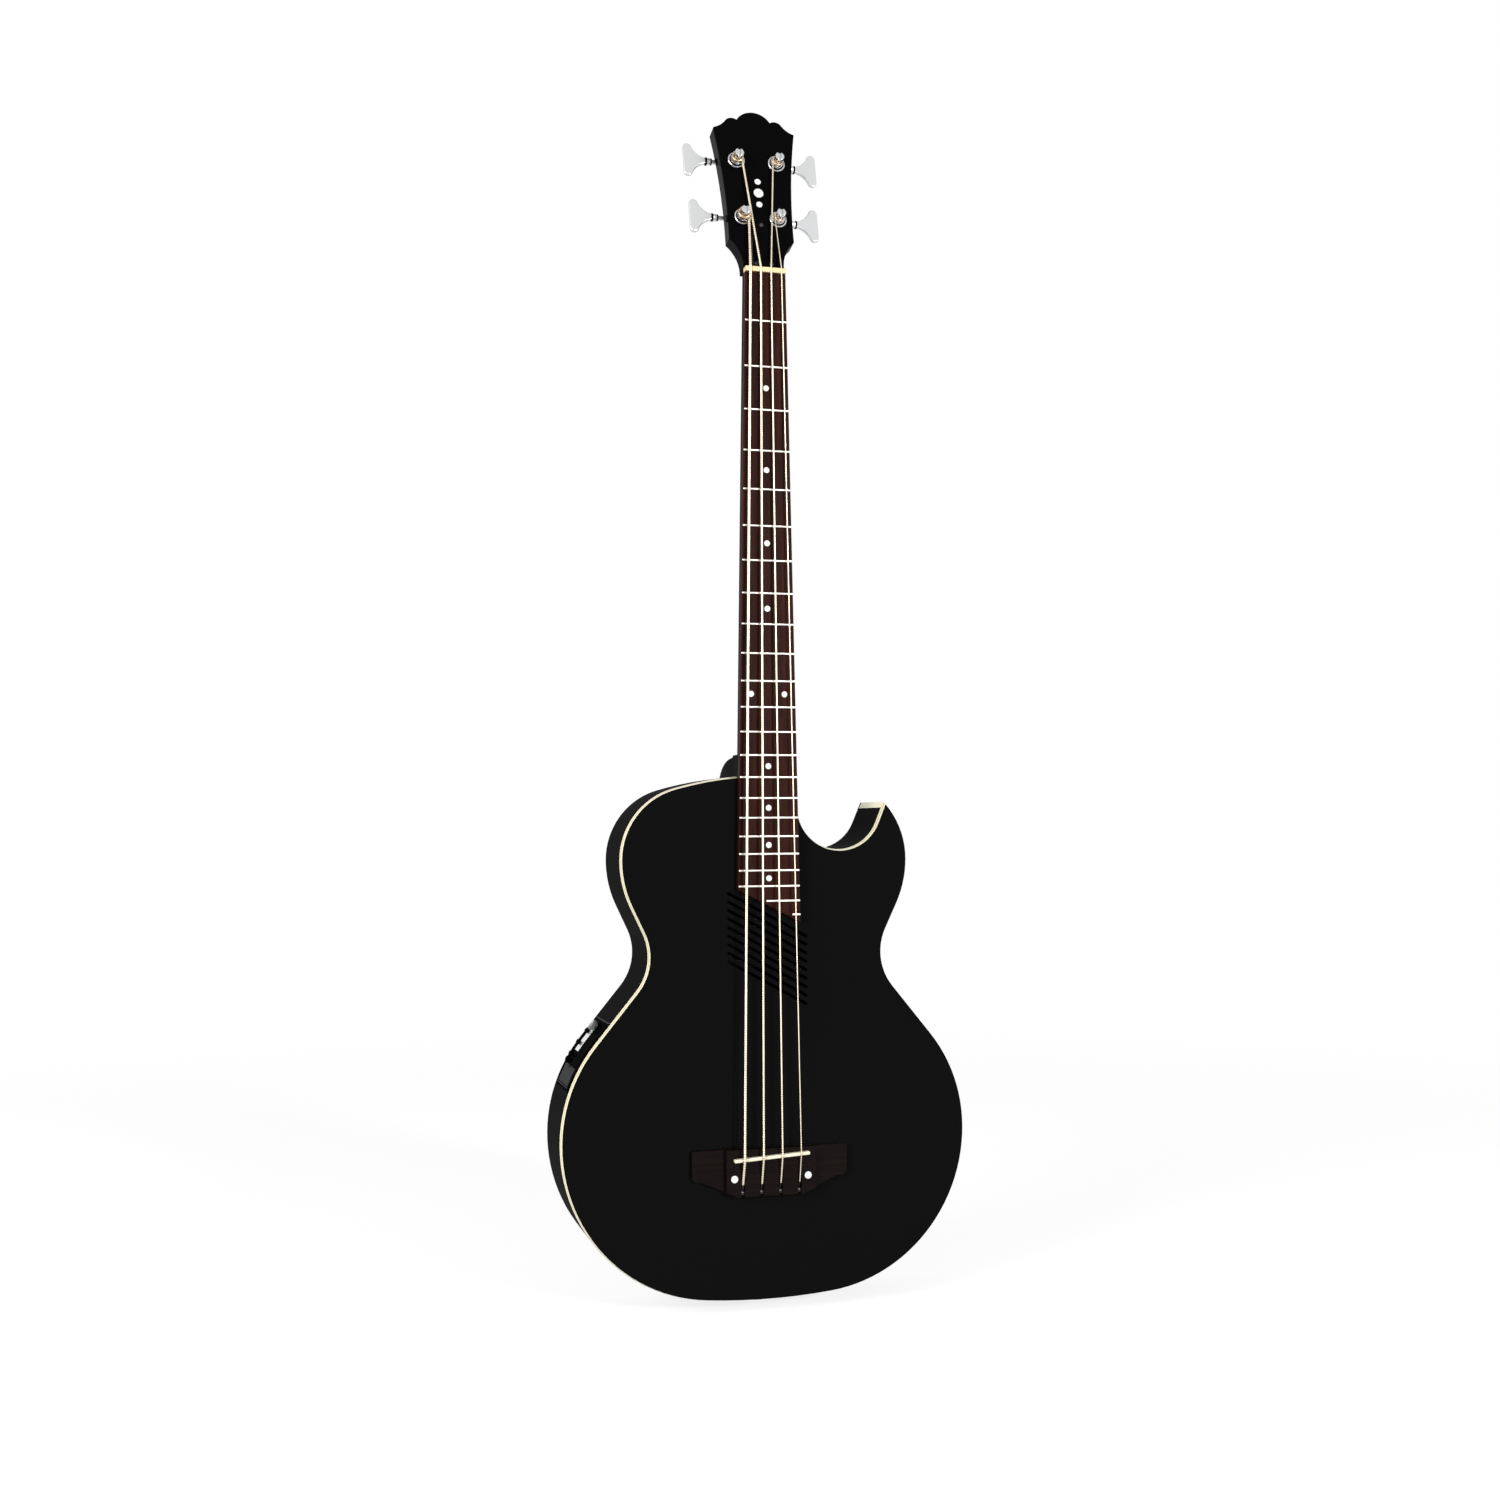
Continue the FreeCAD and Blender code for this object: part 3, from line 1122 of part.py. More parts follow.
def gear_body(letter):
    """A straight-toothed gear: a blank with one space cut and repeated round the post."""
    body = doc.addObject("PartDesign::Body", "gear_" + letter)
    blank = sketch_on(body, "XZ_Plane", "gear_blank_" + letter, "0 - %s - gear_thick" % GEAR_FRONT)
    draw_circle(blank, "0", "0", "gear_tip")
    pad = body.newObject("PartDesign::Pad", "gear_pad_" + letter)
    pad.Profile = blank
    bind(pad, "Length", "gear_thick")
    doc.recompute()
    space = sketch_on(body, "XZ_Plane", "gear_space_" + letter, "0 - %s + overrun" % GEAR_FRONT)
    half = "(pi * gear_root / gear_teeth * (1 - tooth_share))"
    draw_path(space, [("0 - " + half, "gear_root"), (half, "gear_root"),
                      (half + " * gear_tip / gear_root * 9 / 8", "gear_tip + overrun"),
                      ("0 - %s * gear_tip / gear_root * 9 / 8" % half, "gear_tip + overrun")])
    cut = body.newObject("PartDesign::Pocket", "gear_cut_" + letter)
    cut.Profile = space
    bind(cut, "Length", "gear_thick + overrun * 2")
    doc.recompute()
    whole = pad.Shape.Volume
    if cut.Shape.Volume > whole * 0.9999:
        raise ValueError("the gear's first space cuts nothing")
    pattern = body.newObject("PartDesign::PolarPattern", "gear_round_" + letter)
    pattern.Originals = [cut]
    pattern.Axis = (space, ["N_Axis"])
    bind(pattern, "Occurrences", "gear_teeth")
    body.Tip = pattern
    return body


def post(letter):
    """A post with its gear: slotted top, waist for the winding, foot in the bushing."""
    def stage(name, radius, start, end, end_radius=None):
        return rod("post_%s_%s" % (name, letter), radius, "(%s) - (%s)" % (end, start),
                   ("0", start, "0"), (0, 1, 0), end_radius)
    stages = [
        stage("dome", "post_radius * 3 / 5", "0 - post_tall - post_crown / 4", "0 - post_tall",
              "post_radius * 9 / 10"),
        stage("crown", "post_radius * 9 / 10", "0 - post_tall", "post_crown - post_tall"),
        stage("waist", "post_waist", "post_crown - post_tall", "0 - post_collar"),
        stage("foot", "post_radius - running_gap", "0 - post_collar",
              "%s + gear_thick + overrun" % GEAR_FRONT),
        stage("hub", "post_radius * 5 / 4", HEAD_BACK + " + plate_thick + moving_gap",
              GEAR_FRONT + " + gear_thick / 2")]
    gear = gear_body(letter)
    slot = box("post_slot_" + letter,
               ("0 - post_slot / 2", "0 - post_tall - post_crown", "0 - post_radius * 2"),
               ("post_slot", "post_crown * 7 / 4", "post_radius * 4"))
    whole = without("post_cut_" + letter, union("post_union_" + letter, stages + [gear]), [slot])
    deliver(whole, "post_" + letter, tuner_placement(letter))


def biarc(start, start_way, end, end_way):
    """Two arcs that leave start along start_way and reach end along end_way."""
    gap = end - start
    ways = start_way + end_way
    spread = 2 * (1 - start_way.dot(end_way))
    reach = (math.sqrt(gap.dot(ways) ** 2 + spread * gap.dot(gap)) - gap.dot(ways)) / spread
    joint = (start + end + (start_way - end_way) * reach) * 0.5
    return [bend(start, start_way, joint), bend(end, end_way * -1, joint)]


def bend(start, way, end):
    """The arc that leaves start along way and passes through end."""
    chord = end - start
    along = Vector(chord).normalize()
    rise = way - along * way.dot(along)
    angle = math.acos(max(-1.0, min(1.0, way.dot(along))))
    middle = start + chord * 0.5 + rise.normalize() * (chord.Length / 2 * math.tan(angle / 2))
    return Part.Arc(start, middle, end).toShape()


def coil_path(centre, radius, start_angle, turns, pitch, turn, axis_step, flat_start=False):
    """Quarter turns round the Y axis through centre, each as two arcs.

    turn is 1 from +X towards +Z, axis_step is 1 or -1 along Y, and a flat start has no climb.
    """
    quarters = int(round(turns * 4))
    climb = pitch / (2 * math.pi * radius)

    def place(number):
        angle = start_angle + turn * number * math.pi / 2
        reach = max(0.0, number - 0.5) if flat_start else number
        return centre + Vector(radius * math.cos(angle), axis_step * pitch * reach / 4,
                               radius * math.sin(angle))

    def way(number):
        angle = start_angle + turn * number * math.pi / 2
        rise = 0.0 if flat_start and number == 0 else climb * axis_step
        return Vector(-math.sin(angle) * turn, rise, math.cos(angle) * turn).normalize()

    edges = []
    for number in range(quarters):
        pieces = biarc(place(number), way(number), place(number + 1), way(number + 1))
        edges += pieces
    return Part.Wire(Part.__sortEdges__(edges)), place(0), way(0)


def tube(wire, start, way, radius):
    """A round tube along a smooth path."""
    ring = Part.Wire(Part.Circle(start, way, radius).toShape())
    solid = wire.makePipeShell([ring], True, False)
    expected = math.pi * radius ** 2 * wire.Length
    if abs(solid.Volume / expected - 1) > 0.02:
        raise ValueError("a tube has lost its section")
    return solid


def least_gap(wire, radius, skip):
    """Least distance between a tube's surface and its own later turns, on points."""
    points = wire.discretize(Number=240)
    step = wire.Length / 239
    nearest = min((points[one] - points[two]).Length for one in range(240)
                  for two in range(one + int(skip / step), 240))
    return nearest - 2 * radius


def worm(letter):
    """The worm's thread as one climbing tube, and its core."""
    pitch = value(PITCH)
    radius = value("worm_core + thread_rise")
    turns = value("worm_turns")
    centre = Vector(0, -pitch * turns / 2, 0)
    wire, start, way = coil_path(centre, radius, math.pi / 2, turns, pitch, 1, 1)
    thread = tube(wire, start, way, value("thread_wire"))
    thread.rotate(Vector(), Vector(0, 0, 1), -90)
    thread.translate(Vector(0, value(WORM_BACK), value("worm_distance")))
    item = doc.addObject("Part::Feature", "thread_" + letter)
    item.Shape = thread
    return item


def key(letter):
    """A key: its worm, its shaft through the outer bearing, a collar and a two-lobed paddle."""
    side = TUNERS[letter][0]
    out = (side, 0, 0)

    def stage(name, radius, start, end):
        return rod("key_%s_%s" % (name, letter), radius, "(%s) - (%s)" % (end, start),
                   (across(side, start), WORM_BACK, "worm_distance"), out)
    stages = [
        stage("pin", "shaft_radius - moving_gap", "0 - worm_half - ear_thick", "0 - worm_half"),
        stage("core", "worm_core", "0 - worm_half", "worm_half"),
        stage("shaft", "shaft_radius", "worm_half", "key_start"),
        stage("collar", "key_collar", "key_start - key_collar_long", "key_start")]
    notch_x = "key_long - key_lobe * 31 / 16"
    notch_z = "key_half - key_lobe * 2 / 3"
    corners = [
        ("0", "0 - key_stem_half"),
        (notch_x, "0 - (%s)" % notch_z, "key_hollow", -1),
        ("key_long", "key_lobe - key_half", "key_lobe", 1),
        ("key_long", "key_half - key_lobe"),
        (notch_x, notch_z, "key_lobe", 1),
        ("0", "key_stem_half", "key_hollow", -1)]
    paddle = padded("paddle_" + letter, "XZ_Plane", corners, "key_thick", both_ways=True)
    doc.recompute()
    plate = paddle.Tip
    rims = ["Edge%d" % (number + 1) for number, edge in enumerate(plate.Shape.Edges)
            if edge.BoundBox.YLength < value("fit_gap")
            and edge.BoundBox.XMax > value("fit_gap")]
    edging = paddle.newObject("PartDesign::Fillet", "paddle_edge_" + letter)
    edging.Base = (plate, rims)
    bind(edging, "Radius", "key_edge")
    turned = Rotation(Vector(0, 0, 1), 0 if side > 0 else 180)
    paddle.Placement = Placement(Vector(side * value("key_start"), value(WORM_BACK),
                                        value("worm_distance")), turned)
    whole = union("key_union_" + letter, stages + [worm(letter), paddle])
    deliver(whole, "key_" + letter, tuner_placement(letter))


def bushing(letter):
    """A washer, a raised ring and a sleeve in the headstock, bored for the post."""
    side, half, height = TUNERS[letter]
    x = across(side, half)

    def stage(name, radius, start, end, end_radius=None):
        return rod("bushing_%s_%s" % (name, letter), radius, "(%s) - (%s)" % (end, start),
                   (x, start, height), (0, 1, 0), end_radius)
    solid = union("bushing_union_" + letter, [
        stage("washer", "washer_radius * 9 / 10", "0 - washer_thick", "0", "washer_radius"),
        stage("ring", "collar_radius", "0 - washer_thick - collar_tall", "0 - washer_thick"),
        stage("sleeve", "sleeve_radius", "0", "sleeve_long")])
    bore = stage("bore", "post_radius", "0 - washer_thick - collar_tall - overrun",
                 "sleeve_long + overrun")
    return without("bushing_cut_" + letter, solid, [bore])


def tuner_plate(letter):
    """A back plate with two ears that carry the worm, and a bearing hole for the post."""
    side, half, height = TUNERS[letter]
    x = across(side, half)
    plate = box("plate_" + letter,
                (x + " - plate_wide / 2", HEAD_BACK, height + " - plate_below"),
                ("plate_wide", "plate_thick", "plate_above + plate_below"))
    ears = []
    bores = []
    for name, start in (("outer", "worm_half + moving_gap"),
                        ("inner", "0 - worm_half - moving_gap - ear_thick")):
        low = start if side > 0 else "0 - (%s) - ear_thick" % start
        ears.append(box("ear_%s_%s" % (name, letter),
                        ("%s + %s" % (x, low), HEAD_BACK,
                         height + " + worm_distance - ear_half"),
                        ("ear_thick", "%s - %s + ear_half" % (WORM_BACK, HEAD_BACK),
                         "ear_half * 2")))
    bores.append(rod("plate_bore_" + letter, "post_radius", "plate_thick + overrun * 2",
                     (x, HEAD_BACK + " - overrun", height), (0, 1, 0)))
    bores.append(rod("shaft_bore_" + letter, "shaft_radius + running_gap",
                     "worm_half + ear_thick + overrun * 2",
                     (x, WORM_BACK, height + " + worm_distance"), (side, 0, 0)))
    bores.append(rod("pin_bore_" + letter, "shaft_radius - moving_gap + running_gap",
                     "worm_half + ear_thick + overrun * 2",
                     (x, WORM_BACK, height + " + worm_distance"), (-side, 0, 0)))
    for number, lift in enumerate(("plate_above - screw_head * 3 / 2",
                                   "screw_head * 3 / 2 - plate_below")):
        bores.append(rod("plate_hole_%d_%s" % (number, letter), "screw_radius + fit_gap",
                         "plate_thick + overrun * 2",
                         (x, HEAD_BACK + " - overrun", "%s + %s" % (height, lift)), (0, 1, 0)))
    return without("plate_cut_" + letter, union("plate_union_" + letter, [plate] + ears), bores)


for letter in STRINGS:
    post(letter)
    key(letter)
deliver(group("bushings", [bushing(letter) for letter in STRINGS]), "tuner_bushings",
        head_placement())
deliver(group("plates", [tuner_plate(letter) for letter in STRINGS]), "tuner_plates",
        head_placement())
plate_screws = [screw("plate_screw_%d" % number, x, HEAD_BACK + " + plate_thick", z, (0, -1, 0),
                      "screw_long - overrun * 2")
                for number, (x, z) in enumerate(plate_screw_places())]
deliver(group("plate_screws", plate_screws), "tuner_screws", head_placement())

# Bridge, saddle, pickup strip and bolts

BRIDGE_TOP = "(saddle_height + bridge_top)"
WING_LOW = "(saddle_height - wing_low)"
RIDGE_LOW = "(saddle_height - ridge_low)"
SWEEP_WIDE = "(bridge_half - wing_flat - ridge_half + ridge_bevel)"
RIDGE_CUT = "((ridge_low - wing_low) * ridge_bevel / %s)" % SWEEP_WIDE
bridge_body = doc.addObject("PartDesign::Body", "bridge_body")
wing_outline = sketch_on(bridge_body, "XZ_Plane", "wing_outline")
draw_path(wing_outline, [
    ("0 - bridge_half", BRIDGE_TOP),
    ("0 - bridge_half", WING_LOW + " + wing_bevel"),
    ("wing_bevel - bridge_half", WING_LOW),
    ("wing_flat - bridge_half", WING_LOW),
    ("ridge_bevel - ridge_half", RIDGE_LOW),
    ("ridge_half - ridge_bevel", RIDGE_LOW),
    ("bridge_half - wing_flat", WING_LOW),
    ("bridge_half - wing_bevel", WING_LOW),
    ("bridge_half", WING_LOW + " + wing_bevel"),
    ("bridge_half", BRIDGE_TOP)])
wing_pad = bridge_body.newObject("PartDesign::Pad", "wing_pad")
wing_pad.Profile = wing_outline
bind(wing_pad, "Length", "wing_thick")
ridge_outline = sketch_on(bridge_body, "XZ_Plane", "ridge_outline")
draw_path(ridge_outline, [
    ("0 - ridge_half", BRIDGE_TOP),
    ("0 - ridge_half", RIDGE_LOW + " + " + RIDGE_CUT),
    ("ridge_bevel - ridge_half", RIDGE_LOW),
    ("ridge_half - ridge_bevel", RIDGE_LOW),
    ("ridge_half", RIDGE_LOW + " + " + RIDGE_CUT),
    ("ridge_half", BRIDGE_TOP)])
ridge_pad = bridge_body.newObject("PartDesign::Pad", "ridge_pad")
ridge_pad.Profile = ridge_outline
bind(ridge_pad, "Length", "ridge_thick")

slant = Rotation(Vector(0, 1, 0), -value("saddle_slope"))
saddle_frame = Placement(Vector(0, 0, value(SADDLE)), slant)


def slanted(item):
    """Turn a block to the saddle's slant."""
    frame = doc.addObject("Part::Compound", item.Name + "_slanted")
    frame.Links = [item]
    frame.Placement = saddle_frame
    return frame


def saddle_block(name, thick, long, front, deep):
    return box(name, ("0 - (%s) / 2" % long, "0 - (%s)" % front, "0 - (%s) / 2" % thick),
               (long, deep, thick))


saddle_room = slanted(saddle_block("saddle_room", "saddle_thick + fit_gap", "saddle_long + fit_gap",
                                   "ridge_thick + overrun", "saddle_seat + overrun"))
tie_slots = []
for number, letter in enumerate(STRINGS):
    x = saddle_x(number)
    tie_slots.append(box("tie_slot_" + letter,
                         (x + " - tie_slot / 2", "0 - ridge_thick - overrun",
                          RIDGE_LOW + " - overrun"),
                         ("tie_slot", "tie_depth + overrun", "tie_long + overrun")))
    tie_slots.append(rod("ball_bore_" + letter, "ball_bore", "ball_bore_long + overrun",
                         (x, "0 - ball_depth", RIDGE_LOW + " - overrun"), (0, 0, 1)))
BOLT = "(saddle_height - bolt_back)"
dot_rooms = []
for name, sign in (("bass", "0 - "), ("treble", "")):
    x = sign + "bolt_spread / 2"
    dot_rooms.append(rod("pearl_room_" + name, "pearl_radius + fit_gap / 5",
                         "pearl_thick + overrun", (x, "0 - ridge_thick - overrun", BOLT),
                         (0, 1, 0)))
    dot_rooms.append(rod("bolt_head_room_" + name, "bolt_head + fit_gap",
                         "pearl_thick + bolt_head_thick",
                         (x, "0 - ridge_thick", BOLT), (0, 1, 0)))
    dot_rooms.append(rod("bolt_room_" + name, "bolt_radius + fit_gap", "ridge_thick + overrun",
                         (x, "0 - ridge_thick", BOLT), (0, 1, 0)))
lead_room = rod("lead_room", "lead_radius + fit_gap", "ridge_thick", ("0", "0 - ridge_thick", SADDLE),
                (0, 1, 0))
bridge = without("bridge_cut", bridge_body, [saddle_room] + tie_slots + dot_rooms + [lead_room])
deliver(bridge, "bridge")
SADDLE_FOOT = "(ridge_thick - saddle_seat + piezo_thick)"
saddle = slanted(saddle_block("saddle_bar", "saddle_thick", "saddle_long",
                              "ridge_thick + saddle_rise",
                              "ridge_thick + saddle_rise - %s" % SADDLE_FOOT))
deliver(group("saddle_group", [saddle]), "saddle")
piezo = slanted(saddle_block("piezo_bar", "piezo_wide", "saddle_long - overrun * 3",
                             SADDLE_FOOT, "piezo_thick"))
deliver(group("piezo_group", [piezo]), "piezo_strip")
pearls = [rod("pearl_" + name, "pearl_radius", "pearl_thick",
              (sign + "bolt_spread / 2", "0 - ridge_thick", BOLT), (0, 1, 0))
          for name, sign in (("bass", "0 - "), ("treble", ""))]
deliver(group("pearl_group", pearls), "bridge_dots")
bolts = []
for name, sign in (("bass", "0 - "), ("treble", "")):
    x = sign + "bolt_spread / 2"
    bolts.append(union("bolt_" + name, [
        rod("bolt_head_" + name, "bolt_head", "bolt_head_thick",
            (x, "pearl_thick - ridge_thick", BOLT), (0, 1, 0)),
        rod("bolt_shank_" + name, "bolt_radius",
            "ridge_thick - pearl_thick + top_thick + patch_thick + bolt_nut_thick + overrun",
            (x, "pearl_thick - ridge_thick", BOLT), (0, 1, 0)),
        rod("bolt_nut_" + name, "bolt_nut", "bolt_nut_thick",
            (x, "top_thick + patch_thick", BOLT), (0, 1, 0))]))
deliver(group("bolt_group", bolts), "bridge_bolts")

# Strings, ball ends and windings

face_shift = Vector(0, value(FACE), 0)


def rounded(points, radius):
    """Straight runs between points, joined by tangent arcs of one radius."""
    edges = []
    last = points[0]
    for index in range(1, len(points) - 1):
        corner = points[index]
        back = (points[index - 1] - corner).normalize()
        ahead = (points[index + 1] - corner).normalize()
        half = back.getAngle(ahead) / 2
        reach = radius / math.tan(half)
        start = corner + back * reach
        end = corner + ahead * reach
        middle = corner + (back + ahead).normalize() * (radius / math.sin(half) - radius)
        edges.append(Part.LineSegment(last, start).toShape())
        edges.append(Part.Arc(start, middle, end).toShape())
        last = end
    edges.append(Part.LineSegment(last, points[-1]).toShape())
    return Part.Wire(edges)


def string_and_winding(number, letter):
    """One string from its ball end over saddle and nut to its post, and its turns there."""
    radius = value("gauge_%s / 2" % letter)
    at_saddle = value(saddle_x(number))
    at_nut = value(nut_x(number))
    slope = math.tan(math.radians(value("saddle_slope")))
    ball = Vector(at_saddle, -value("ball_depth"), value(BALL))
    entry = Vector(at_saddle, -value("ridge_thick") + radius, value(RIDGE_LOW + " + tie_long / 2"))
    points = [
        ball + (entry - ball).normalize() * value("ball_radius"),
        entry,
        Vector(at_saddle, -value("ridge_thick + saddle_rise") - radius - GAP * 5 / 2,
               value(SADDLE) + at_saddle * slope),
        Vector(at_nut, -value(NUT_SEAT) - radius - GAP / 2, value(NUT_BACK))]
    side, half, height = TUNERS[letter]
    post_place = Vector(side * value(half), 0, value(height))
    turn_radius = value("post_waist + moving_gap") + radius
    to_head = head_placement().inverse()
    local = to_head.multVec(points[3] + face_shift)
    gap = Vector(post_place.x - local.x, 0, post_place.z - local.z)
    lean = math.atan2(gap.z, gap.x)
    opening = math.acos(turn_radius / gap.Length)
    angle = lean + math.pi - side * opening
    level = -value("post_collar + moving_gap") - radius
    tangent = Vector(post_place.x + turn_radius * math.cos(angle), level,
                     post_place.z + turn_radius * math.sin(angle))
    centre = Vector(post_place.x, level, post_place.z)
    turn = -side
    # The string comes down to the foot of its post, and its last bit runs along the face
    away = Vector(local.x - tangent.x, 0, local.z - tangent.z).normalize()
    points += [head_placement().multVec(place) - face_shift
               for place in (tangent + away * turn_radius, tangent)]
    wire = rounded(points, value("string_bend"))
    string = tube(wire, points[0], points[1] - points[0], radius)
    # The first quarter climbs half as far, so the pitch is an eighth larger
    pitch = (2 * radius + value("winding_gap")) * 8 / 7
    path, start, way = coil_path(centre, turn_radius, angle, value("winding_turns"), pitch, turn,
                                 -1, flat_start=True)
    winding = tube(path, start, way, radius)
    print("string", letter, "length", round(wire.Length, 1), "winding's least gap to itself",
          round(least_gap(path, radius, turn_radius * 3), 2))
    return string, winding


windings = []
for number, letter in enumerate(STRINGS):
    string, winding = string_and_winding(number, letter)
    feature("string_" + letter, string)
    windings.append(winding)
feature("string_windings", Part.Compound(windings), head_placement())
balls = [rod("ball_" + letter, "ball_radius", "ball_wide",
             ("%s - ball_wide / 2" % saddle_x(number), "0 - ball_depth",
              BALL), (1, 0, 0))
         for number, letter in enumerate(STRINGS)]
deliver(group("ball_group", balls), "ball_ends")

# Preamp on the bass side

frame = slab(-value("frame_proud"), -OVER, DEPTH * 2).cut(slab(0, -OVER * 2, DEPTH * 3))
frame = frame.common(block(far_side, 0, frame_front, frame_rear, frame_low, frame_high))
frame = frame.cut([preamp_space(0)])
feature("preamp_frame", frame)

PROUD = value("pod_proud")


def on_side(drop, deep):
    """A frame on the preamp's face: local -X leaves the face."""
    place, outward = side_place(frame_high - drop)
    place.y = value("preamp_front") + deep
    return turned_to(outward, place + outward * PROUD)


def outward_rod(radius, start, end):
    """A cylinder that leaves the preamp's face, in the face's own frame."""
    return Part.makeCylinder(radius, end - start, Vector(-start, 0, 0), Vector(-1, 0, 0))


def outward_block(tall, deep, start, end):
    return Part.makeBox(end - start, deep, tall, Vector(-end, -deep / 2, -tall / 2))


def placed(shape, placement):
    moved = shape.copy()
    moved.Placement = placement.multiply(moved.Placement)
    return moved


MOVE = value("moving_gap")
RUN = value("running_gap")
knob_frame = on_side(value("knob_drop"), value("knob_deep"))
knob_long = value("knob_stem_long")
knob = outward_rod(value("knob_radius"), MOVE * 3, value("knob_tall")).fuse(
    outward_rod(value("knob_stem"), -knob_long, MOVE * 4))
knob = knob.makeFillet(value("knob_tall / 6"), [edge for edge in knob.Edges
                       if edge.BoundBox.XMin < -value("knob_tall") + MOVE
                       and edge.BoundBox.XLength < MOVE])
feature("volume_knob", placed(knob, knob_frame))
pod_tools = [placed(outward_rod(value("knob_stem") + RUN, -knob_long - OVER, OVER * 2), knob_frame)]

SLIDERS = ("bass_slider", "middle_slider", "treble_slider")
for number, name in enumerate(SLIDERS):
    seat = on_side(value("slider_drop + slider_step * %d" % number), value("slider_deep"))
    stem = value("slider_stem")
    deep = value("slider_stem_long")
    cap = outward_block(value("slider_cap"), value("slider_cap_deep"), MOVE * 2,
                        value("slider_cap_tall"))
    cap = cap.makeChamfer(value("slider_cap / 6"), [edge for edge in cap.Edges
                          if edge.BoundBox.XMax < -value("slider_cap_tall") / 2])
    lever = outward_block(stem, stem * 2, -deep, MOVE * 3)
    feature(name, placed(cap.fuse(lever), seat))
    slot = outward_block(stem + MOVE * 2, value("slider_travel") * 2 + stem * 2 + MOVE * 2,
                         -deep - MOVE, OVER * 2)
    pod_tools.append(placed(slot, seat))

button_seat = on_side(value("button_drop"), value("button_deep"))
button_travel = value("button_travel")
button = outward_rod(value("button_radius"), -button_travel * 3, value("button_tall"))
feature("phase_button", placed(button, button_seat))
pod_tools.append(placed(outward_rod(value("button_radius") + RUN, -button_travel * 5, OVER * 2),
                        button_seat))

door_seat = on_side(value("door_drop"), value("preamp_deep / 2"))
door_tall = value("door_tall")
door_deep = value("door_deep")
door_thick = value("door_thick")
pin = value("door_pin")
door = Part.makeBox(door_thick, door_deep, door_tall - pin * 2,
                    Vector(-door_thick / 2, -door_deep / 2, -door_tall / 2 + pin * 3 / 2))
tab = Part.makeBox(value("door_tab"), door_deep / 6, pin * 3 / 2,
                   Vector(-door_thick / 2 - value("door_tab"), -door_deep / 12,
                          door_tall / 2 - pin * 5 / 2))
hinge_middle = Vector(0, 0, -door_tall / 2 + pin / 2)
barrel = Part.makeCylinder(pin, door_deep + pin * 3, hinge_middle + Vector(0, -door_deep / 2
                           - pin * 3 / 2, 0), Vector(0, 1, 0))
leaf = Part.makeBox(door_thick / 2, door_deep, pin * 3 / 2,
                    Vector(-door_thick / 4, -door_deep / 2, -door_tall / 2 + pin / 2))
feature("battery_door", placed(door.fuse([tab, barrel, leaf]), door_seat))
door_room = Part.makeBox(door_thick * 3 + MOVE, door_deep + MOVE * 2, door_tall + MOVE * 4,
                         Vector(-door_thick * 5 / 2, -door_deep / 2 - MOVE,
                                -door_tall / 2 - pin / 2 - MOVE))
pin_room = Part.makeCylinder(pin + RUN, door_deep + pin * 3 + MOVE * 2, hinge_middle
                             + Vector(0, -door_deep / 2 - pin * 3 / 2 - MOVE, 0), Vector(0, 1, 0))
battery_gap = value("battery_gap")
battery_size = [value("battery_wide"), value("battery_long"), value("battery_thick")]
door_middle = door_seat.Base
battery_corner = door_middle + Vector(BATTERY_START, -battery_size[1] / 2,
                                      -battery_size[2] / 2 - battery_gap)
room_corner = battery_corner - Vector(battery_gap, battery_gap, battery_gap)
feature("battery", Part.makeBox(*battery_size, battery_corner))
battery_room = Part.makeBox(*[side + battery_gap * 2 for side in battery_size], room_corner)
pod_tools += [placed(door_room, door_seat), placed(pin_room, door_seat), battery_room]
pod = slab(-PROUD, 0, DEPTH).common(preamp_space(GAP))
pod = pod.cut(pod_tools)
feature("preamp_box", pod)

label = slab(-PROUD - value("label_thick"), 0, DEPTH).cut(slab(-PROUD, -OVER, DEPTH + OVER))
label = label.common(block(far_side, 0, frame_front + value("label_deep"),
                           frame_front + value("label_deep + label_wide"),
                           frame_high - value("label_drop + label_tall"),
                           frame_high - value("label_drop")))
feature("preamp_label", label.cut(pod_tools))

# End jack with its nut, and the strap button on the back

jack_stages = [
    rod("jack_washer", "jack_flange", "jack_flange_thick", ("0", "tail_depth / 2",
                                                           "0 - jack_flange_thick")),
    rod("jack_barrel", "jack_radius", "jack_stub + jack_inside",
        ("0", "tail_depth / 2", "0 - jack_stub")),
    rod("jack_rim", "jack_rim - jack_rim_thick / 3", "jack_rim_thick",
        ("0", "tail_depth / 2", "0 - jack_stub"), (0, 0, 1), "jack_rim")]
jack = without("jack_cut", union("jack_union", jack_stages), [
    rod("jack_bore", "plug_radius", "jack_stub + jack_inside - jack_flange_thick + overrun",
        ("0", "tail_depth / 2", "0 - jack_stub - overrun"))])
deliver(jack, "end_jack")
jack_hex = hexagon("jack_hex", "jack_nut", "jack_nut_thick",
                   ("0", "tail_depth / 2", "tail_block_tall"))
jack_hex_bore = rod("jack_hex_bore", "jack_radius + fit_gap / 5", "jack_nut_thick + overrun * 2",
                    ("0", "tail_depth / 2", "tail_block_tall - overrun"))
deliver(without("jack_nut_cut", jack_hex, [jack_hex_bore]), "end_jack_nut")

strap = union("strap_union", [
    rod("strap_foot", "strap_base", "strap_long / 2", ("0", "0", "0"), (0, 1, 0), "strap_waist"),
    rod("strap_head", "strap_waist", "strap_long / 2", ("0", "strap_long / 2", "0"), (0, 1, 0),
        "strap_base"),
    rod("strap_screw", "screw_radius", "strap_long * 2", ("0", "0 - strap_long * 3 / 2", "0"),
        (0, 1, 0))])
deliver(strap, "strap_button", face_placement().multiply(strap_seat))


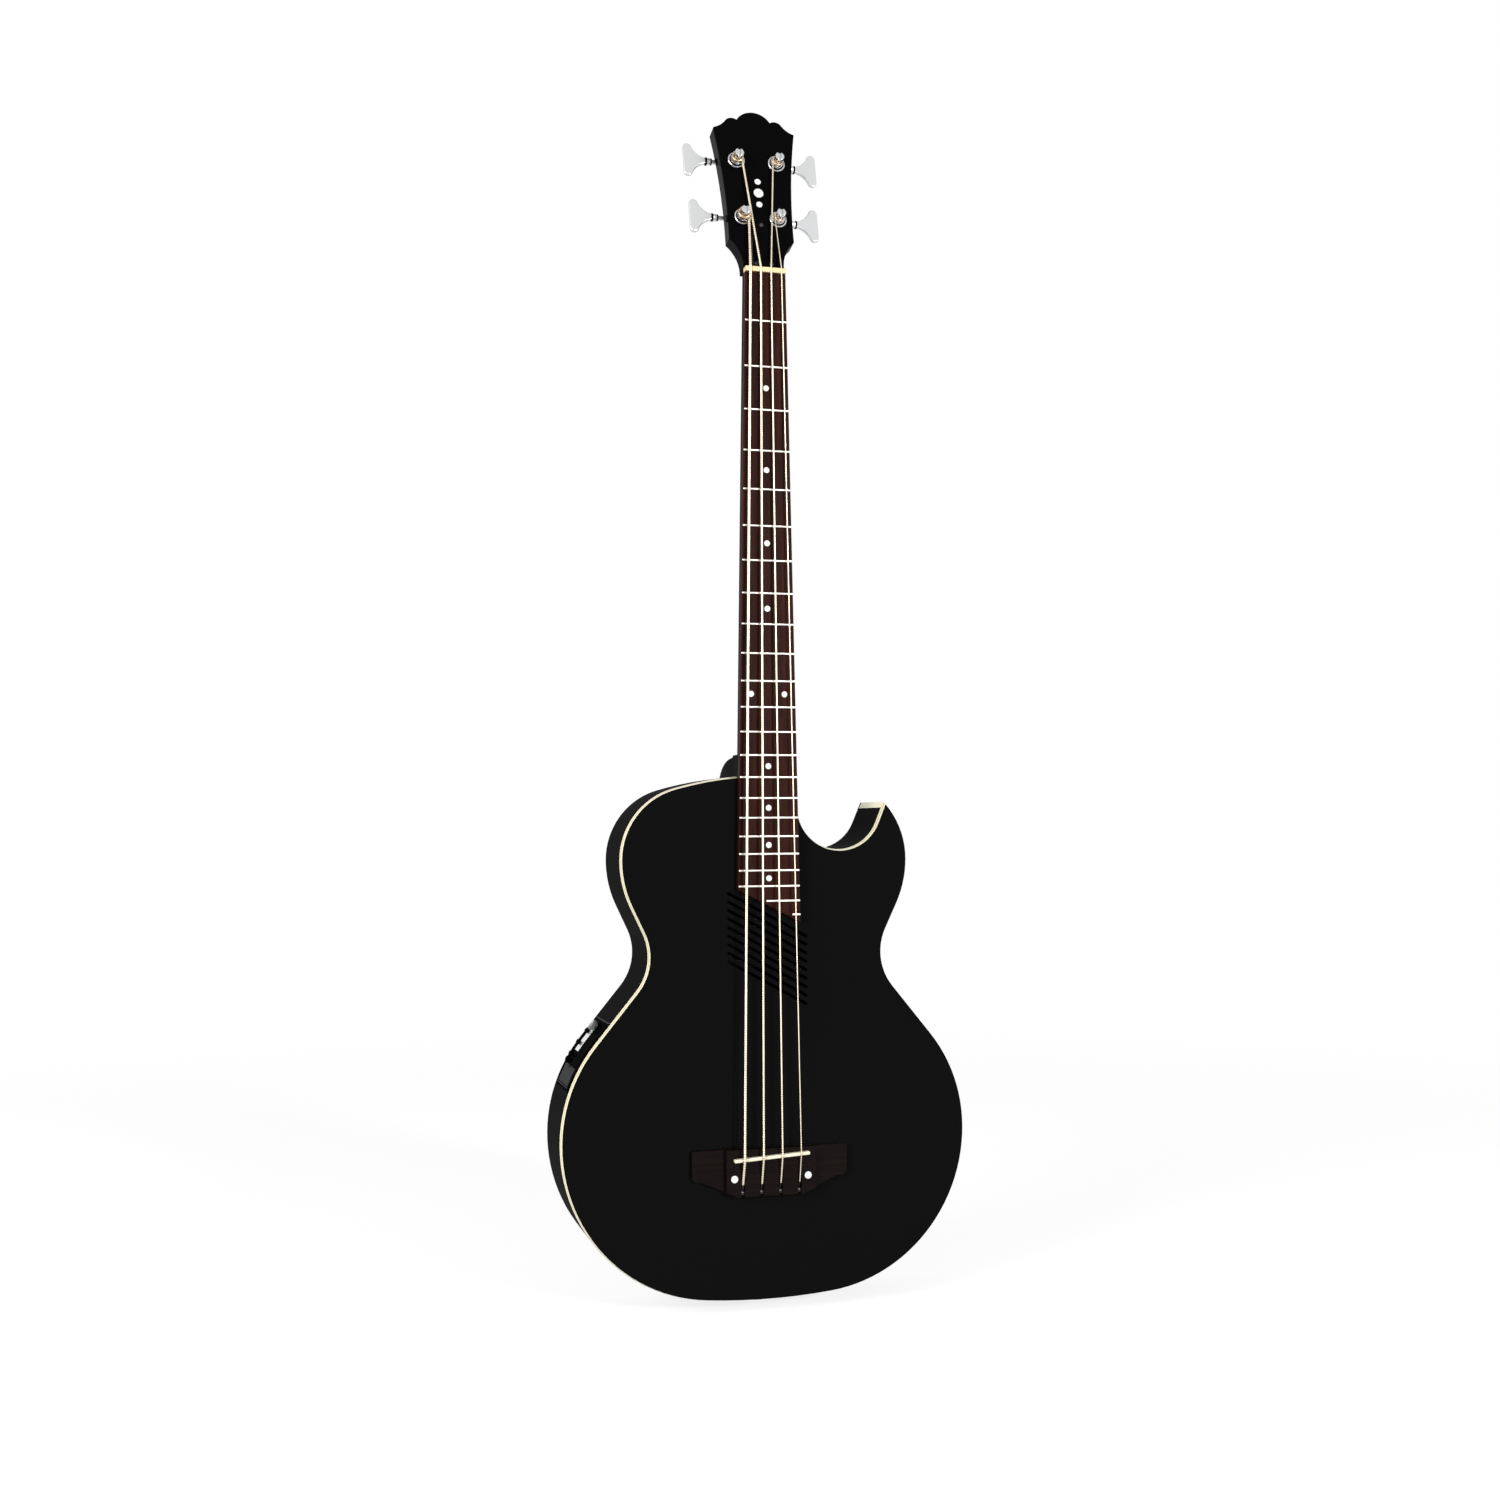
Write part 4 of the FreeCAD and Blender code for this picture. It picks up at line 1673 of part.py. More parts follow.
def lead(label, points):
    """A lead clipped inside the body, straight runs joined by arcs as large as they allow."""
    edges = []
    last = points[0]
    for index in range(1, len(points) - 1):
        corner = points[index]
        back = points[index - 1] - corner
        ahead = points[index + 1] - corner
        reach = min(back.Length, ahead.Length) * 0.45
        half = back.getAngle(ahead) / 2
        radius = reach * math.tan(half)
        start = corner + Vector(back).normalize() * reach
        end = corner + Vector(ahead).normalize() * reach
        inward = (Vector(back).normalize() + Vector(ahead).normalize()).normalize()
        middle = corner + inward * (radius / math.sin(half) - radius)
        edges.append(Part.LineSegment(last, start).toShape())
        edges.append(Part.Arc(start, middle, end).toShape())
        last = end
    edges.append(Part.LineSegment(last, points[-1]).toShape())
    wire = Part.Wire(edges)
    print("lead", label, "length", round(wire.Length))
    feature(label, tube(wire, points[0], points[1] - points[0], LEAD))


pod_low = frame_low + LIP
pod_middle = (frame_front + frame_rear) / 2
jack_end = value("jack_inside")
lead("pickup_lead", [
    Vector(0, -value(SADDLE_FOOT + " - piezo_thick"), value(SADDLE)),
    Vector(0, pod_middle * 2 / 3, value(SADDLE)),
    Vector(pod_inside / 2, pod_middle, value(SADDLE) * 5 / 4),
    Vector(pod_inside * 4 / 5, pod_middle, frame_high - value("preamp_tall * 3 / 4")),
    Vector(pod_inside, pod_middle, frame_high - value("preamp_tall / 2"))])
lead("jack_lead", [
    Vector(0, DEPTH / 2, jack_end),
    Vector(0, DEPTH / 2, jack_end * 2),
    Vector(pod_inside / 2, DEPTH / 2, value(SADDLE) * 3 / 4),
    Vector(pod_inside * 3 / 4, pod_middle, frame_low - LIP),
    Vector(pod_inside, pod_middle, frame_low + LIP * 3)])

# Check everything, then write one file for each piece

doc.recompute()
for item in doc.Objects:
    if "Invalid" in item.State or "Error" in item.State:
        raise ValueError("%s did not build: %s" % (item.Label, item.State))
os.makedirs("parts", exist_ok=True)
for label, item in parts.items():
    shape = item.Shape
    if shape.isNull() or not shape.isValid() or not shape.Solids:
        raise ValueError("%s has no valid solid" % label)
    shape.exportStep("parts/%s.step" % label)
print("pieces", len(parts), "solids", sum(len(item.Shape.Solids) for item in parts.values()))
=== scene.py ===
# %% [markdown]
# # An acoustic-electric bass guitar
# The solids of the instrument are already packed as a fixed frame. This script gives them their
# looks: it loads the frame, keeps its box, and then works through the instrument finish by finish
# and piece by piece.

# %% Load the frame
import bpy
import json
import math
from mathutils import Matrix, Vector


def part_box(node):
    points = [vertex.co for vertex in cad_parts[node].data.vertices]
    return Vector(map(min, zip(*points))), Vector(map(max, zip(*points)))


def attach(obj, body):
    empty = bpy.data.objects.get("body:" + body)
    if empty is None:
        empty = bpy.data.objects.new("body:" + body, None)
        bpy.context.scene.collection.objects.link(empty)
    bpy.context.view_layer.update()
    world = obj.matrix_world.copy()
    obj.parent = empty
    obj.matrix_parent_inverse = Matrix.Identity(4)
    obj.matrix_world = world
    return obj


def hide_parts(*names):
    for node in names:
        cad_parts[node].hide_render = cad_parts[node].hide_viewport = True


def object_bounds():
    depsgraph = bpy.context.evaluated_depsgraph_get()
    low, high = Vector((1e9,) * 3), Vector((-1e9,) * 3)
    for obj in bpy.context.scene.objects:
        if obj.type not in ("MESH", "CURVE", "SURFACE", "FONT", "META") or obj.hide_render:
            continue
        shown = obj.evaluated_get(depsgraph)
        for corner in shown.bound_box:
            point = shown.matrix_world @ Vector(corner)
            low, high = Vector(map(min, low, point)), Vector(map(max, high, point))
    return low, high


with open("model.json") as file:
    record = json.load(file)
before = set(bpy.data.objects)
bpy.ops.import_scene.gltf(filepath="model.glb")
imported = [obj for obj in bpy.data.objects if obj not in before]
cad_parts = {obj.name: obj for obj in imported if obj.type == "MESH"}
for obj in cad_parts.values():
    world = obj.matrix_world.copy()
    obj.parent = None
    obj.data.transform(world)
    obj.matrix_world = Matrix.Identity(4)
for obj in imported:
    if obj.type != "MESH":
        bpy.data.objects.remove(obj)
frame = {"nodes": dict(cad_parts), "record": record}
cad_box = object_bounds()
nodes = frame["nodes"]
body_of = {node: body for body, members in frame["record"]["behaviour"]["bodies"].items()
           for node in members}
slot_of = {part["node"]: part["material_slot"] for part in frame["record"]["subparts"]}
print("nodes", len(nodes), "box", [round(v, 3) for corner in cad_box for v in corner])

# %% [markdown]
# The camera stands where the photographer stood: low, close, and to the left of the instrument.
# Its place and lens were solved from the frets, which stand at known heights, so it is written
# as a place, a turn to the right, a small tilt upwards and a hair of roll.

# %% Camera
CAMERA_PLACE = (-0.4629, -1.6744, 0.4572)
CAMERA_TURN, CAMERA_TILT, CAMERA_ROLL = -15.336, 2.610, 0.328
SENSOR_WIDE, LENS = 36, 41.31
camera_data = bpy.data.cameras.new("photo_camera")
camera_data.sensor_width = SENSOR_WIDE
camera_data.lens = LENS
camera = bpy.data.objects.new("photo_camera", camera_data)
bpy.context.scene.collection.objects.link(camera)
camera.matrix_world = (Matrix.Translation(CAMERA_PLACE)
                       @ Matrix.Rotation(math.radians(CAMERA_TURN), 4, "Z")
                       @ Matrix.Rotation(math.radians(90 + CAMERA_TILT), 4, "X")
                       @ Matrix.Rotation(math.radians(-CAMERA_ROLL), 4, "Z"))
bpy.context.scene.camera = camera

# %% [markdown]
# Every node tree below is built the same way: a node is added, its sockets are set, and its
# outputs are linked on. These small helpers keep that short.

# %% Helpers for shader nodes
def node(tree, kind, settings=None, **sockets):
    """Adds a shader node, sets its properties, and sets or links its inputs.

    An input called i0, i1 and so on is found by its number, any other by its name.
    """
    made = tree.nodes.new(kind)
    for name, value in (settings or {}).items():
        setattr(made, name, value)
    for name, value in sockets.items():
        key = int(name[1:]) if name[0] == "i" and name[1:].isdigit() else name.replace("_", " ")
        if isinstance(value, bpy.types.NodeSocket):
            tree.links.new(value, made.inputs[key])
        else:
            made.inputs[key].default_value = value
    return made


def ramp(tree, factor, *stops):
    """A colour ramp of grey stops, each a place and a value."""
    made = node(tree, "ShaderNodeValToRGB", Fac=factor)
    elements = made.color_ramp.elements
    while len(elements) < len(stops):
        elements.new(0.5)
    for element, (place, grey) in zip(elements, stops):
        element.position = place
        element.color = (grey, grey, grey, 1)
    return made.outputs["Color"]


def mix(tree, factor, first, second, blend="MIX"):
    """Mixes two colours."""
    return node(tree, "ShaderNodeMix", {"data_type": "RGBA", "blend_type": blend},
                i0=factor, i6=first, i7=second).outputs[2]


def calculate(tree, operation, *values):
    """A math node."""
    inputs = {"i%d" % index: value for index, value in enumerate(values)}
    return node(tree, "ShaderNodeMath", {"operation": operation}, **inputs).outputs[0]


def stretched(tree, vector, scale):
    """Coordinates scaled along each axis, so that a pattern runs lengthwise."""
    return node(tree, "ShaderNodeMapping", Vector=vector, Scale=scale).outputs["Vector"]


def split(tree, vector):
    """The three numbers of a vector."""
    return node(tree, "ShaderNodeSeparateXYZ", i0=vector).outputs


def object_place(tree):
    """Object coordinates as three numbers."""
    return split(tree, node(tree, "ShaderNodeTexCoord").outputs["Object"])


def normal(tree):
    """The direction that a point of the surface faces."""
    return node(tree, "ShaderNodeNewGeometry").outputs["Normal"]

# %% [markdown]
# ## Studio
# The photograph has a plain white ground and soft light. The world is white to the camera and to
# mirror-like rays, and dimmer as a light, so that the black lacquer keeps its depth. The floor is
# almost white too, fades into the background a few metres out, and keeps the contact shadow.

# %% World, floor and lamps
WORLD_LIGHT = 0.30
FLOOR_DROP = 0.001
FLOOR_HALF = 9.0
PAPER, GLOW = 0.34, 0.80
FADE_START, FADE_END = 0.7, 2.6


def seen_directly(tree):
    """One for camera, mirror and glass rays, and zero for the rays that carry soft light."""
    path = tree.nodes.new("ShaderNodeLightPath")
    seen = calculate(tree, "MAXIMUM", path.outputs["Is Camera Ray"],
                     path.outputs["Is Glossy Ray"])
    return calculate(tree, "MAXIMUM", seen, path.outputs["Is Transmission Ray"])


world = bpy.data.worlds.new("studio_world")
bpy.context.scene.world = world
world.use_nodes = True
tree = world.node_tree
tree.nodes.clear()
lit = node(tree, "ShaderNodeBackground", Color=(1, 1, 1, 1), Strength=WORLD_LIGHT)
shown = node(tree, "ShaderNodeBackground", Color=(1, 1, 1, 1), Strength=1.0)
both = node(tree, "ShaderNodeMixShader", i0=seen_directly(tree), i1=lit.outputs[0],
            i2=shown.outputs[0])
node(tree, "ShaderNodeOutputWorld", Surface=both.outputs[0])

bpy.ops.mesh.primitive_plane_add(size=FLOOR_HALF * 2,
                                 location=(0, 0, cad_box[0][2] - FLOOR_DROP))
floor = bpy.context.object
floor.name = "studio_floor"
floor_finish = bpy.data.materials.new("studio_floor")
floor_finish.use_nodes = True
tree = floor_finish.node_tree
tree.nodes.clear()
place = node(tree, "ShaderNodeTexCoord").outputs["Object"]
far = node(tree, "ShaderNodeVectorMath", {"operation": "LENGTH"}, i0=place).outputs["Value"]
far = node(tree, "ShaderNodeMapRange", {"interpolation_type": "SMOOTHSTEP"}, Value=far,
           From_Min=FADE_START, From_Max=FADE_END).outputs["Result"]
paper = mix(tree, far, (PAPER, PAPER, PAPER, 1), (0, 0, 0, 1))
paper = node(tree, "ShaderNodeBsdfDiffuse", Color=paper)
strength = calculate(tree, "MULTIPLY_ADD", far, 1 - GLOW, GLOW)
strength = calculate(tree, "MULTIPLY", strength, seen_directly(tree))
glow = node(tree, "ShaderNodeEmission", Color=(1, 1, 1, 1), Strength=strength)
both = node(tree, "ShaderNodeAddShader", i0=paper.outputs[0], i1=glow.outputs[0])
node(tree, "ShaderNodeOutputMaterial", Surface=both.outputs[0])
floor.data.materials.append(floor_finish)


def soft_box(name, place, target, size, power):
    """A rectangular lamp that looks at a point."""
    lamp = bpy.data.lights.new(name, "AREA")
    lamp.shape = "RECTANGLE"
    lamp.size, lamp.size_y = size
    lamp.energy = power
    made = bpy.data.objects.new(name, lamp)
    bpy.context.scene.collection.objects.link(made)
    made.location = place
    made.rotation_euler = (Vector(target) - Vector(place)).to_track_quat("-Z", "Y").to_euler()


soft_box("key_light", (1.3, -2.9, 1.1), (0, 0, 0.6), (0.35, 0.35), 76)
soft_box("fill_light", (-2.6, -1.7, 1.1), (0, 0, 0.4), (1.4, 2.2), 90)
soft_box("side_light", (-2.6, 0.9, 1.5), (-0.1, 0, 0.4), (1.2, 1.8), 7)

# %% [markdown]
# ## Finishes
# Effects that several finishes share are node groups. The first is straight wood grain: long
# streaks from noise that is squeezed across the grain and stretched along it, and short dark
# pores that also dent the surface a little.

# %% Node group: straight grain
def new_group(name, inputs, outputs):
    """A shader node group with named sockets: (name, kind, default) each."""
    made = bpy.data.node_groups.new(name, "ShaderNodeTree")
    for title, kind, value in inputs:
        socket = made.interface.new_socket(name=title, in_out="INPUT", socket_type=kind)
        if value is not None:
            socket.default_value = value
    for title, kind in outputs:
        made.interface.new_socket(name=title, in_out="OUTPUT", socket_type=kind)
    start = made.nodes.new("NodeGroupInput")
    end = made.nodes.new("NodeGroupOutput")
    return made, start, end


COLOUR, NUMBER, PLACE = "NodeSocketColor", "NodeSocketFloat", "NodeSocketVector"
grain, start, end = new_group("straight_grain", [
    ("Vector", PLACE, None), ("Dark", COLOUR, (0, 0, 0, 1)), ("Light", COLOUR, (1, 1, 1, 1)),
    ("Streaks", NUMBER, 90.0), ("Pores", NUMBER, 0.5)], [("Color", COLOUR), ("Height", NUMBER)])
wide = node(grain, "ShaderNodeTexNoise", Vector=start.outputs["Vector"],
            Scale=start.outputs["Streaks"], Detail=6.0, Roughness=0.62)
slow = node(grain, "ShaderNodeTexNoise", Vector=start.outputs["Vector"], Scale=14.0, Detail=3.0)
fine = node(grain, "ShaderNodeTexNoise", Vector=start.outputs["Vector"],
            Scale=calculate(grain, "MULTIPLY", start.outputs["Streaks"], 7.0), Detail=2.0)
streak = ramp(grain, wide.outputs["Fac"], (0.34, 0.0), (0.68, 1.0))
shade = mix(grain, streak, start.outputs["Dark"], start.outputs["Light"])
broad = ramp(grain, slow.outputs["Fac"], (0.3, 0.72), (0.7, 1.0))
shade = mix(grain, 1.0, shade, broad, "MULTIPLY")
pore = ramp(grain, fine.outputs["Fac"], (0.56, 0.0), (0.66, 1.0))
pore_amount = calculate(grain, "MULTIPLY", pore, start.outputs["Pores"])
shade = mix(grain, pore_amount, shade, (0.006, 0.003, 0.002, 1))
grain.links.new(shade, end.inputs["Color"])
height = calculate(grain, "SUBTRACT", calculate(grain, "MULTIPLY", streak, 0.3), pore_amount)
grain.links.new(height, end.inputs["Height"])

# %% [markdown]
# Lacquer and moulded plastic are never quite flat. This group gives the slow waves that a buffed
# surface keeps, and a scatter of faint hairlines and dust that only changes how rough it looks.

# %% Node group: handled surface
handled, start, end = new_group("handled_surface", [
    ("Vector", PLACE, None), ("Waves", NUMBER, 9.0), ("Base roughness", NUMBER, 0.2),
    ("Wear", NUMBER, 0.1)], [("Height", NUMBER), ("Roughness", NUMBER)])
wave = node(handled, "ShaderNodeTexNoise", Vector=start.outputs["Vector"],
            Scale=start.outputs["Waves"], Detail=2.0, Roughness=0.4)
hair = node(handled, "ShaderNodeTexNoise", Vector=start.outputs["Vector"], Scale=260.0,
            Detail=3.0, Distortion=0.4)
cloud = node(handled, "ShaderNodeTexNoise", Vector=start.outputs["Vector"], Scale=16.0, Detail=4.0)
rubbed = calculate(handled, "MULTIPLY", ramp(handled, cloud.outputs["Fac"], (0.42, 0), (0.72, 1)),
                   start.outputs["Wear"])
fleck = calculate(handled, "MULTIPLY", ramp(handled, hair.outputs["Fac"], (0.6, 0), (0.75, 1)),
                  calculate(handled, "MULTIPLY", start.outputs["Wear"], 0.6))
rough = calculate(handled, "ADD", start.outputs["Base roughness"],
                  calculate(handled, "ADD", rubbed, fleck))
handled.links.new(rough, end.inputs["Roughness"])
handled.links.new(wave.outputs["Fac"], end.inputs["Height"])

# %% [markdown]
# Brushed and satin metal has fine lines one way. The group squeezes noise into lines and uses it
# twice: as a small bump and as a change in roughness, so that highlights break up along the brush.

# %% Node group: brushed metal
brushed, start, end = new_group("brushed_metal", [
    ("Vector", PLACE, None), ("Lines", NUMBER, 900.0), ("Base roughness", NUMBER, 0.25),
    ("Spread", NUMBER, 0.12)], [("Height", NUMBER), ("Roughness", NUMBER)])
line = node(brushed, "ShaderNodeTexNoise", Vector=start.outputs["Vector"],
            Scale=start.outputs["Lines"], Detail=3.0)
smear = node(brushed, "ShaderNodeTexNoise", Vector=start.outputs["Vector"], Scale=40.0, Detail=3.0)
both = calculate(brushed, "ADD", calculate(brushed, "MULTIPLY", line.outputs["Fac"], 0.5),
                 calculate(brushed, "MULTIPLY", smear.outputs["Fac"], 0.5))
rough = calculate(brushed, "ADD", start.outputs["Base roughness"],
                  calculate(brushed, "MULTIPLY", calculate(brushed, "SUBTRACT", both, 0.5),
                            start.outputs["Spread"]))
brushed.links.new(rough, end.inputs["Roughness"])
brushed.links.new(line.outputs["Fac"], end.inputs["Height"])

# %% [markdown]
# A finish is a material with one Principled shader. Numbers that are the same all over it are set
# on the shader itself, and only what changes over the surface is linked.

# %% Helpers for finishes
def finish(name, colour, roughness=0.4, **sockets):
    """A new material: returns it with its tree, its shader and its Object coordinates."""
    made = bpy.data.materials.new(name)
    made.use_nodes = True
    tree = made.node_tree
    shader = tree.nodes["Principled BSDF"]
    shader.inputs["Base Color"].default_value = (*colour, 1)
    shader.inputs["Roughness"].default_value = roughness
    for key, value in sockets.items():
        shader.inputs[key.replace("_", " ")].default_value = value
    where = tree.nodes.new("ShaderNodeTexCoord").outputs["Object"]
    return made, tree, shader, where


def use_group(tree, group, **sockets):
    """Places a node group in a material."""
    return node(tree, "ShaderNodeGroup", {"node_tree": group}, **sockets).outputs


def dent(tree, shader, height, strength, distance=0.0004):
    """Feeds a height to the shader's normal."""
    bump = node(tree, "ShaderNodeBump", Height=height, Strength=strength, Distance=distance)
    tree.links.new(bump.outputs["Normal"], shader.inputs["Normal"])

# %% [markdown]
# The body and the headstock are black polyester lacquer: almost no colour of its own, a clear coat,
# and very slight waves. The top is buffed hardest, and the sides a little less; the sides' ground is
# also made a little darker than the top's, as painted shade. The wood of the headstock has a thicker
# coat than the neck's, so its sides show as a lighter strip.

# %% Black lacquers
COAT_ROUGH = 0.08
NECK_COAT, HEAD_COAT, COAT_RISE = 0.05, 0.22, 0.03


def lacquer(name, colour, roughness, coat, wear, waves):
    """A dark ground under a clear coat, with slow waves and a little wear."""
    made, tree, shader, where = finish(name, colour, roughness)
    shader.inputs["Specular IOR Level"].default_value = 0.0
    shader.inputs["Coat Weight"].default_value = coat
    shader.inputs["Coat Roughness"].default_value = COAT_ROUGH
    out = use_group(tree, handled, Vector=where, Waves=waves, Base_roughness=roughness, Wear=wear)
    tree.links.new(out["Roughness"], shader.inputs["Roughness"])
    dent(tree, shader, out["Height"], 0.05, 0.002)
    return made


black_top = lacquer("black_top_lacquer", (0.0034, 0.0034, 0.0036), 0.22, 0.05, 0.05, 7.0)
black_head = lacquer("black_head_lacquer", (0.0018, 0.0018, 0.0020), 0.22, 0.03, 0.05, 11.0)
# Painted shade: the sides' ground is darker than the top's, standing in for the shade they are in.
black_side = lacquer("shaded_black_side_lacquer", (0.0024, 0.0024, 0.0026), 0.30, 0.032, 0.06, 9.0)
black_neck = lacquer("black_neck_lacquer", (0.0030, 0.0030, 0.0032), 0.30, NECK_COAT, 0.08,
                     12.0)
HEAD_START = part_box("nut")[1][2]
tree = black_neck.node_tree
glossier = node(tree, "ShaderNodeMapRange", Value=object_place(tree)["Z"], From_Min=HEAD_START,
                From_Max=HEAD_START + COAT_RISE, To_Min=NECK_COAT,
                To_Max=HEAD_COAT).outputs["Result"]
tree.links.new(glossier, tree.nodes["Principled BSDF"].inputs["Coat Weight"])

# %% [markdown]
# The fingerboard and the bridge are a dark reddish brown wood, oiled and left open. Its grain runs
# along the neck on the fingerboard, and across the body on the bridge. The wood inside the body is
# pale, except for the braces, which could be seen through the slots: their wood is painted near
# black, as painted shade for the inside of the body.

# %% Woods
OPEN_WOOD_SHINE = 0.05


def wood_finish(name, scale, dark, light, streaks):
    """Wood with open pores: its grain is stretched by the scale, between two colours."""
    made, tree, shader, where = finish(name, light, 0.5)
    shader.inputs["Specular IOR Level"].default_value = OPEN_WOOD_SHINE
    along = stretched(tree, where, scale)
    out = use_group(tree, grain, Vector=along, Dark=(*dark, 1), Light=(*light, 1),
                    Streaks=streaks, Pores=0.7)
    tree.links.new(out["Color"], shader.inputs["Base Color"])
    dent(tree, shader, out["Height"], 0.35, 0.0002)
    return made


fingerboard_wood = wood_finish("fingerboard_wood", (1, 1, 0.035), (0.012, 0.0022, 0.0013),
                               (0.044, 0.0088, 0.0046), 230.0)
bridge_wood = wood_finish("bridge_wood", (0.05, 1, 1), (0.0024, 0.0012, 0.0011),
                          (0.0068, 0.0030, 0.0025), 240.0)
pale_wood = wood_finish("bare_inner_wood", (1, 1, 0.05), (0.30, 0.18, 0.09), (0.48, 0.32, 0.18),
                        120.0)
# Painted shade: the braces' wood is near black, standing in for the shadow inside the body.
shaded_wood = wood_finish("painted_shade_inner_wood", (0.05, 1, 1), (0.0040, 0.0028, 0.0020),
                          (0.0080, 0.0055, 0.0040), 120.0)

# %% [markdown]
# The binding is cream plastic. A thin tan line between two cream bands is painted shade, standing in
# for the shaded edge between the binding's front and its side. The line runs round the rim at one
# depth, so the colour follows the depth from front to back.

# %% Cream binding
BINDING_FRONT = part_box("body_binding")[0][1]
SHADE_LINE_START, SHADE_LINE_END = 0.0026, 0.0036
DEEP_CREAM, PALE_CREAM, EDGE_SHADE_TAN = (0.93, 0.86, 0.56, 1), (0.97, 0.92, 0.64, 1), (0.42, 0.30, 0.16, 1)
binding_cream, tree, shader, where = finish("binding_cream", (0.93, 0.87, 0.66), 0.3,
                                            Coat_Weight=0.5, Coat_Roughness=COAT_ROUGH)
depth = calculate(tree, "SUBTRACT", split(tree, where)["Y"], BINDING_FRONT)
painted_edge_shade = calculate(tree, "MULTIPLY", calculate(tree, "GREATER_THAN", depth, SHADE_LINE_START),
                        calculate(tree, "LESS_THAN", depth, SHADE_LINE_END))
aged = node(tree, "ShaderNodeTexNoise", Vector=where, Scale=30.0, Detail=4.0)
cream = mix(tree, aged.outputs["Fac"], DEEP_CREAM, PALE_CREAM)
# Painted shade: the tan band along the rim stands in for the shaded edge between front and side.
cream = mix(tree, painted_edge_shade, cream, EDGE_SHADE_TAN)
tree.links.new(cream, shader.inputs["Base Color"])
out = use_group(tree, handled, Vector=where, Waves=120.0, Base_roughness=0.28, Wear=0.1)
tree.links.new(out["Roughness"], shader.inputs["Roughness"])
dent(tree, shader, out["Height"], 0.05, 0.0003)

# %% [markdown]
# The nut and the saddle are bone: cream, dense, with faint pores, and lit a little from within.
# The nut has taken oil and is yellower.

# %% Bone
def bone_finish(name, light, dark):
    """Bone between two colours, with light that spreads a little below its surface."""
    made, tree, shader, where = finish(name, light, 0.35, Coat_Weight=0.15)
    shader.inputs["Subsurface Weight"].default_value = 0.15
    shader.inputs["Subsurface Scale"].default_value = 0.002
    spots = node(tree, "ShaderNodeTexNoise", Vector=stretched(tree, where, (0.2, 1, 1)),
                 Scale=500.0, Detail=4.0)
    tree.links.new(mix(tree, spots.outputs["Fac"], (*light, 1), (*dark, 1)),
                   shader.inputs["Base Color"])
    dent(tree, shader, spots.outputs["Fac"], 0.1, 0.0001)
    return made


bone = bone_finish("bone", (0.90, 0.84, 0.66), (0.80, 0.72, 0.52))
oiled_bone = bone_finish("oiled_bone", (0.84, 0.70, 0.40), (0.70, 0.54, 0.26))

# %% [markdown]
# Pearl dots: several soft layers of pale colour that shift into each other, under a clear coat.

# %% Pearl
pearl, tree, shader, where = finish("pearl", (0.85, 0.84, 0.80), 0.25, Coat_Weight=0.6,
                                    Coat_Roughness=0.05)
swirl = node(tree, "ShaderNodeTexNoise", Vector=where, Scale=260.0, Detail=5.0, Distortion=1.8)
layers = mix(tree, ramp(tree, swirl.outputs["Fac"], (0.38, 0), (0.62, 1)),
             (0.70, 0.72, 0.70, 1), (0.93, 0.91, 0.86, 1))
tree.links.new(layers, shader.inputs["Base Color"])
tree.links.new(ramp(tree, swirl.outputs["Fac"], (0.3, 0.18), (0.7, 0.42)),
               shader.inputs["Roughness"])

# %% [markdown]
# Metals: bright nickel frets, satin chrome on the tuning machines and the end jack, plain steel on
# screws, and bronze wire wound on the strings. The winding is a fine bump that repeats along each
# string, much as the real wire does. The strings' lower ends, which lie in the bridge's slots, are
# painted near black like a wrap of dark thread; this is painted shade, standing in for the shadow
# inside the slots.

# %% Metals
def metal(name, colour, roughness, scale=(1, 1, 1), lines=900.0, spread=0.12, bump=0.08):
    """Metal with fine lines that are stretched by the scale."""
    made, tree, shader, where = finish(name, colour, roughness, Metallic=1.0)
    out = use_group(tree, brushed, Vector=stretched(tree, where, scale), Lines=lines,
                    Base_roughness=roughness, Spread=spread)
    tree.links.new(out["Roughness"], shader.inputs["Roughness"])
    dent(tree, shader, out["Height"], bump, 0.0001)
    return made


fret_metal = metal("fret_nickel", (0.80, 0.77, 0.70), 0.28, (0.05, 1, 1))
chrome = metal("satin_chrome", (0.60, 0.61, 0.62), 0.26, (1, 1, 1), 500.0, 0.10, 0.04)
key_chrome = metal("key_chrome", (0.66, 0.665, 0.67), 0.34, (1, 1, 1), 60.0, 0.06, 0.01)
steel = metal("plain_steel", (0.52, 0.52, 0.53), 0.32)
WINDINGS_PER_METRE = 2600.0
SLOT_SHADE_LONG, SLOT_SHADE_EDGE = 0.0116, 0.0004
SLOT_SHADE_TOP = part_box("bridge")[0][2] + SLOT_SHADE_LONG
SLOT_SHADE_BLACK = (0.006, 0.006, 0.007, 1)


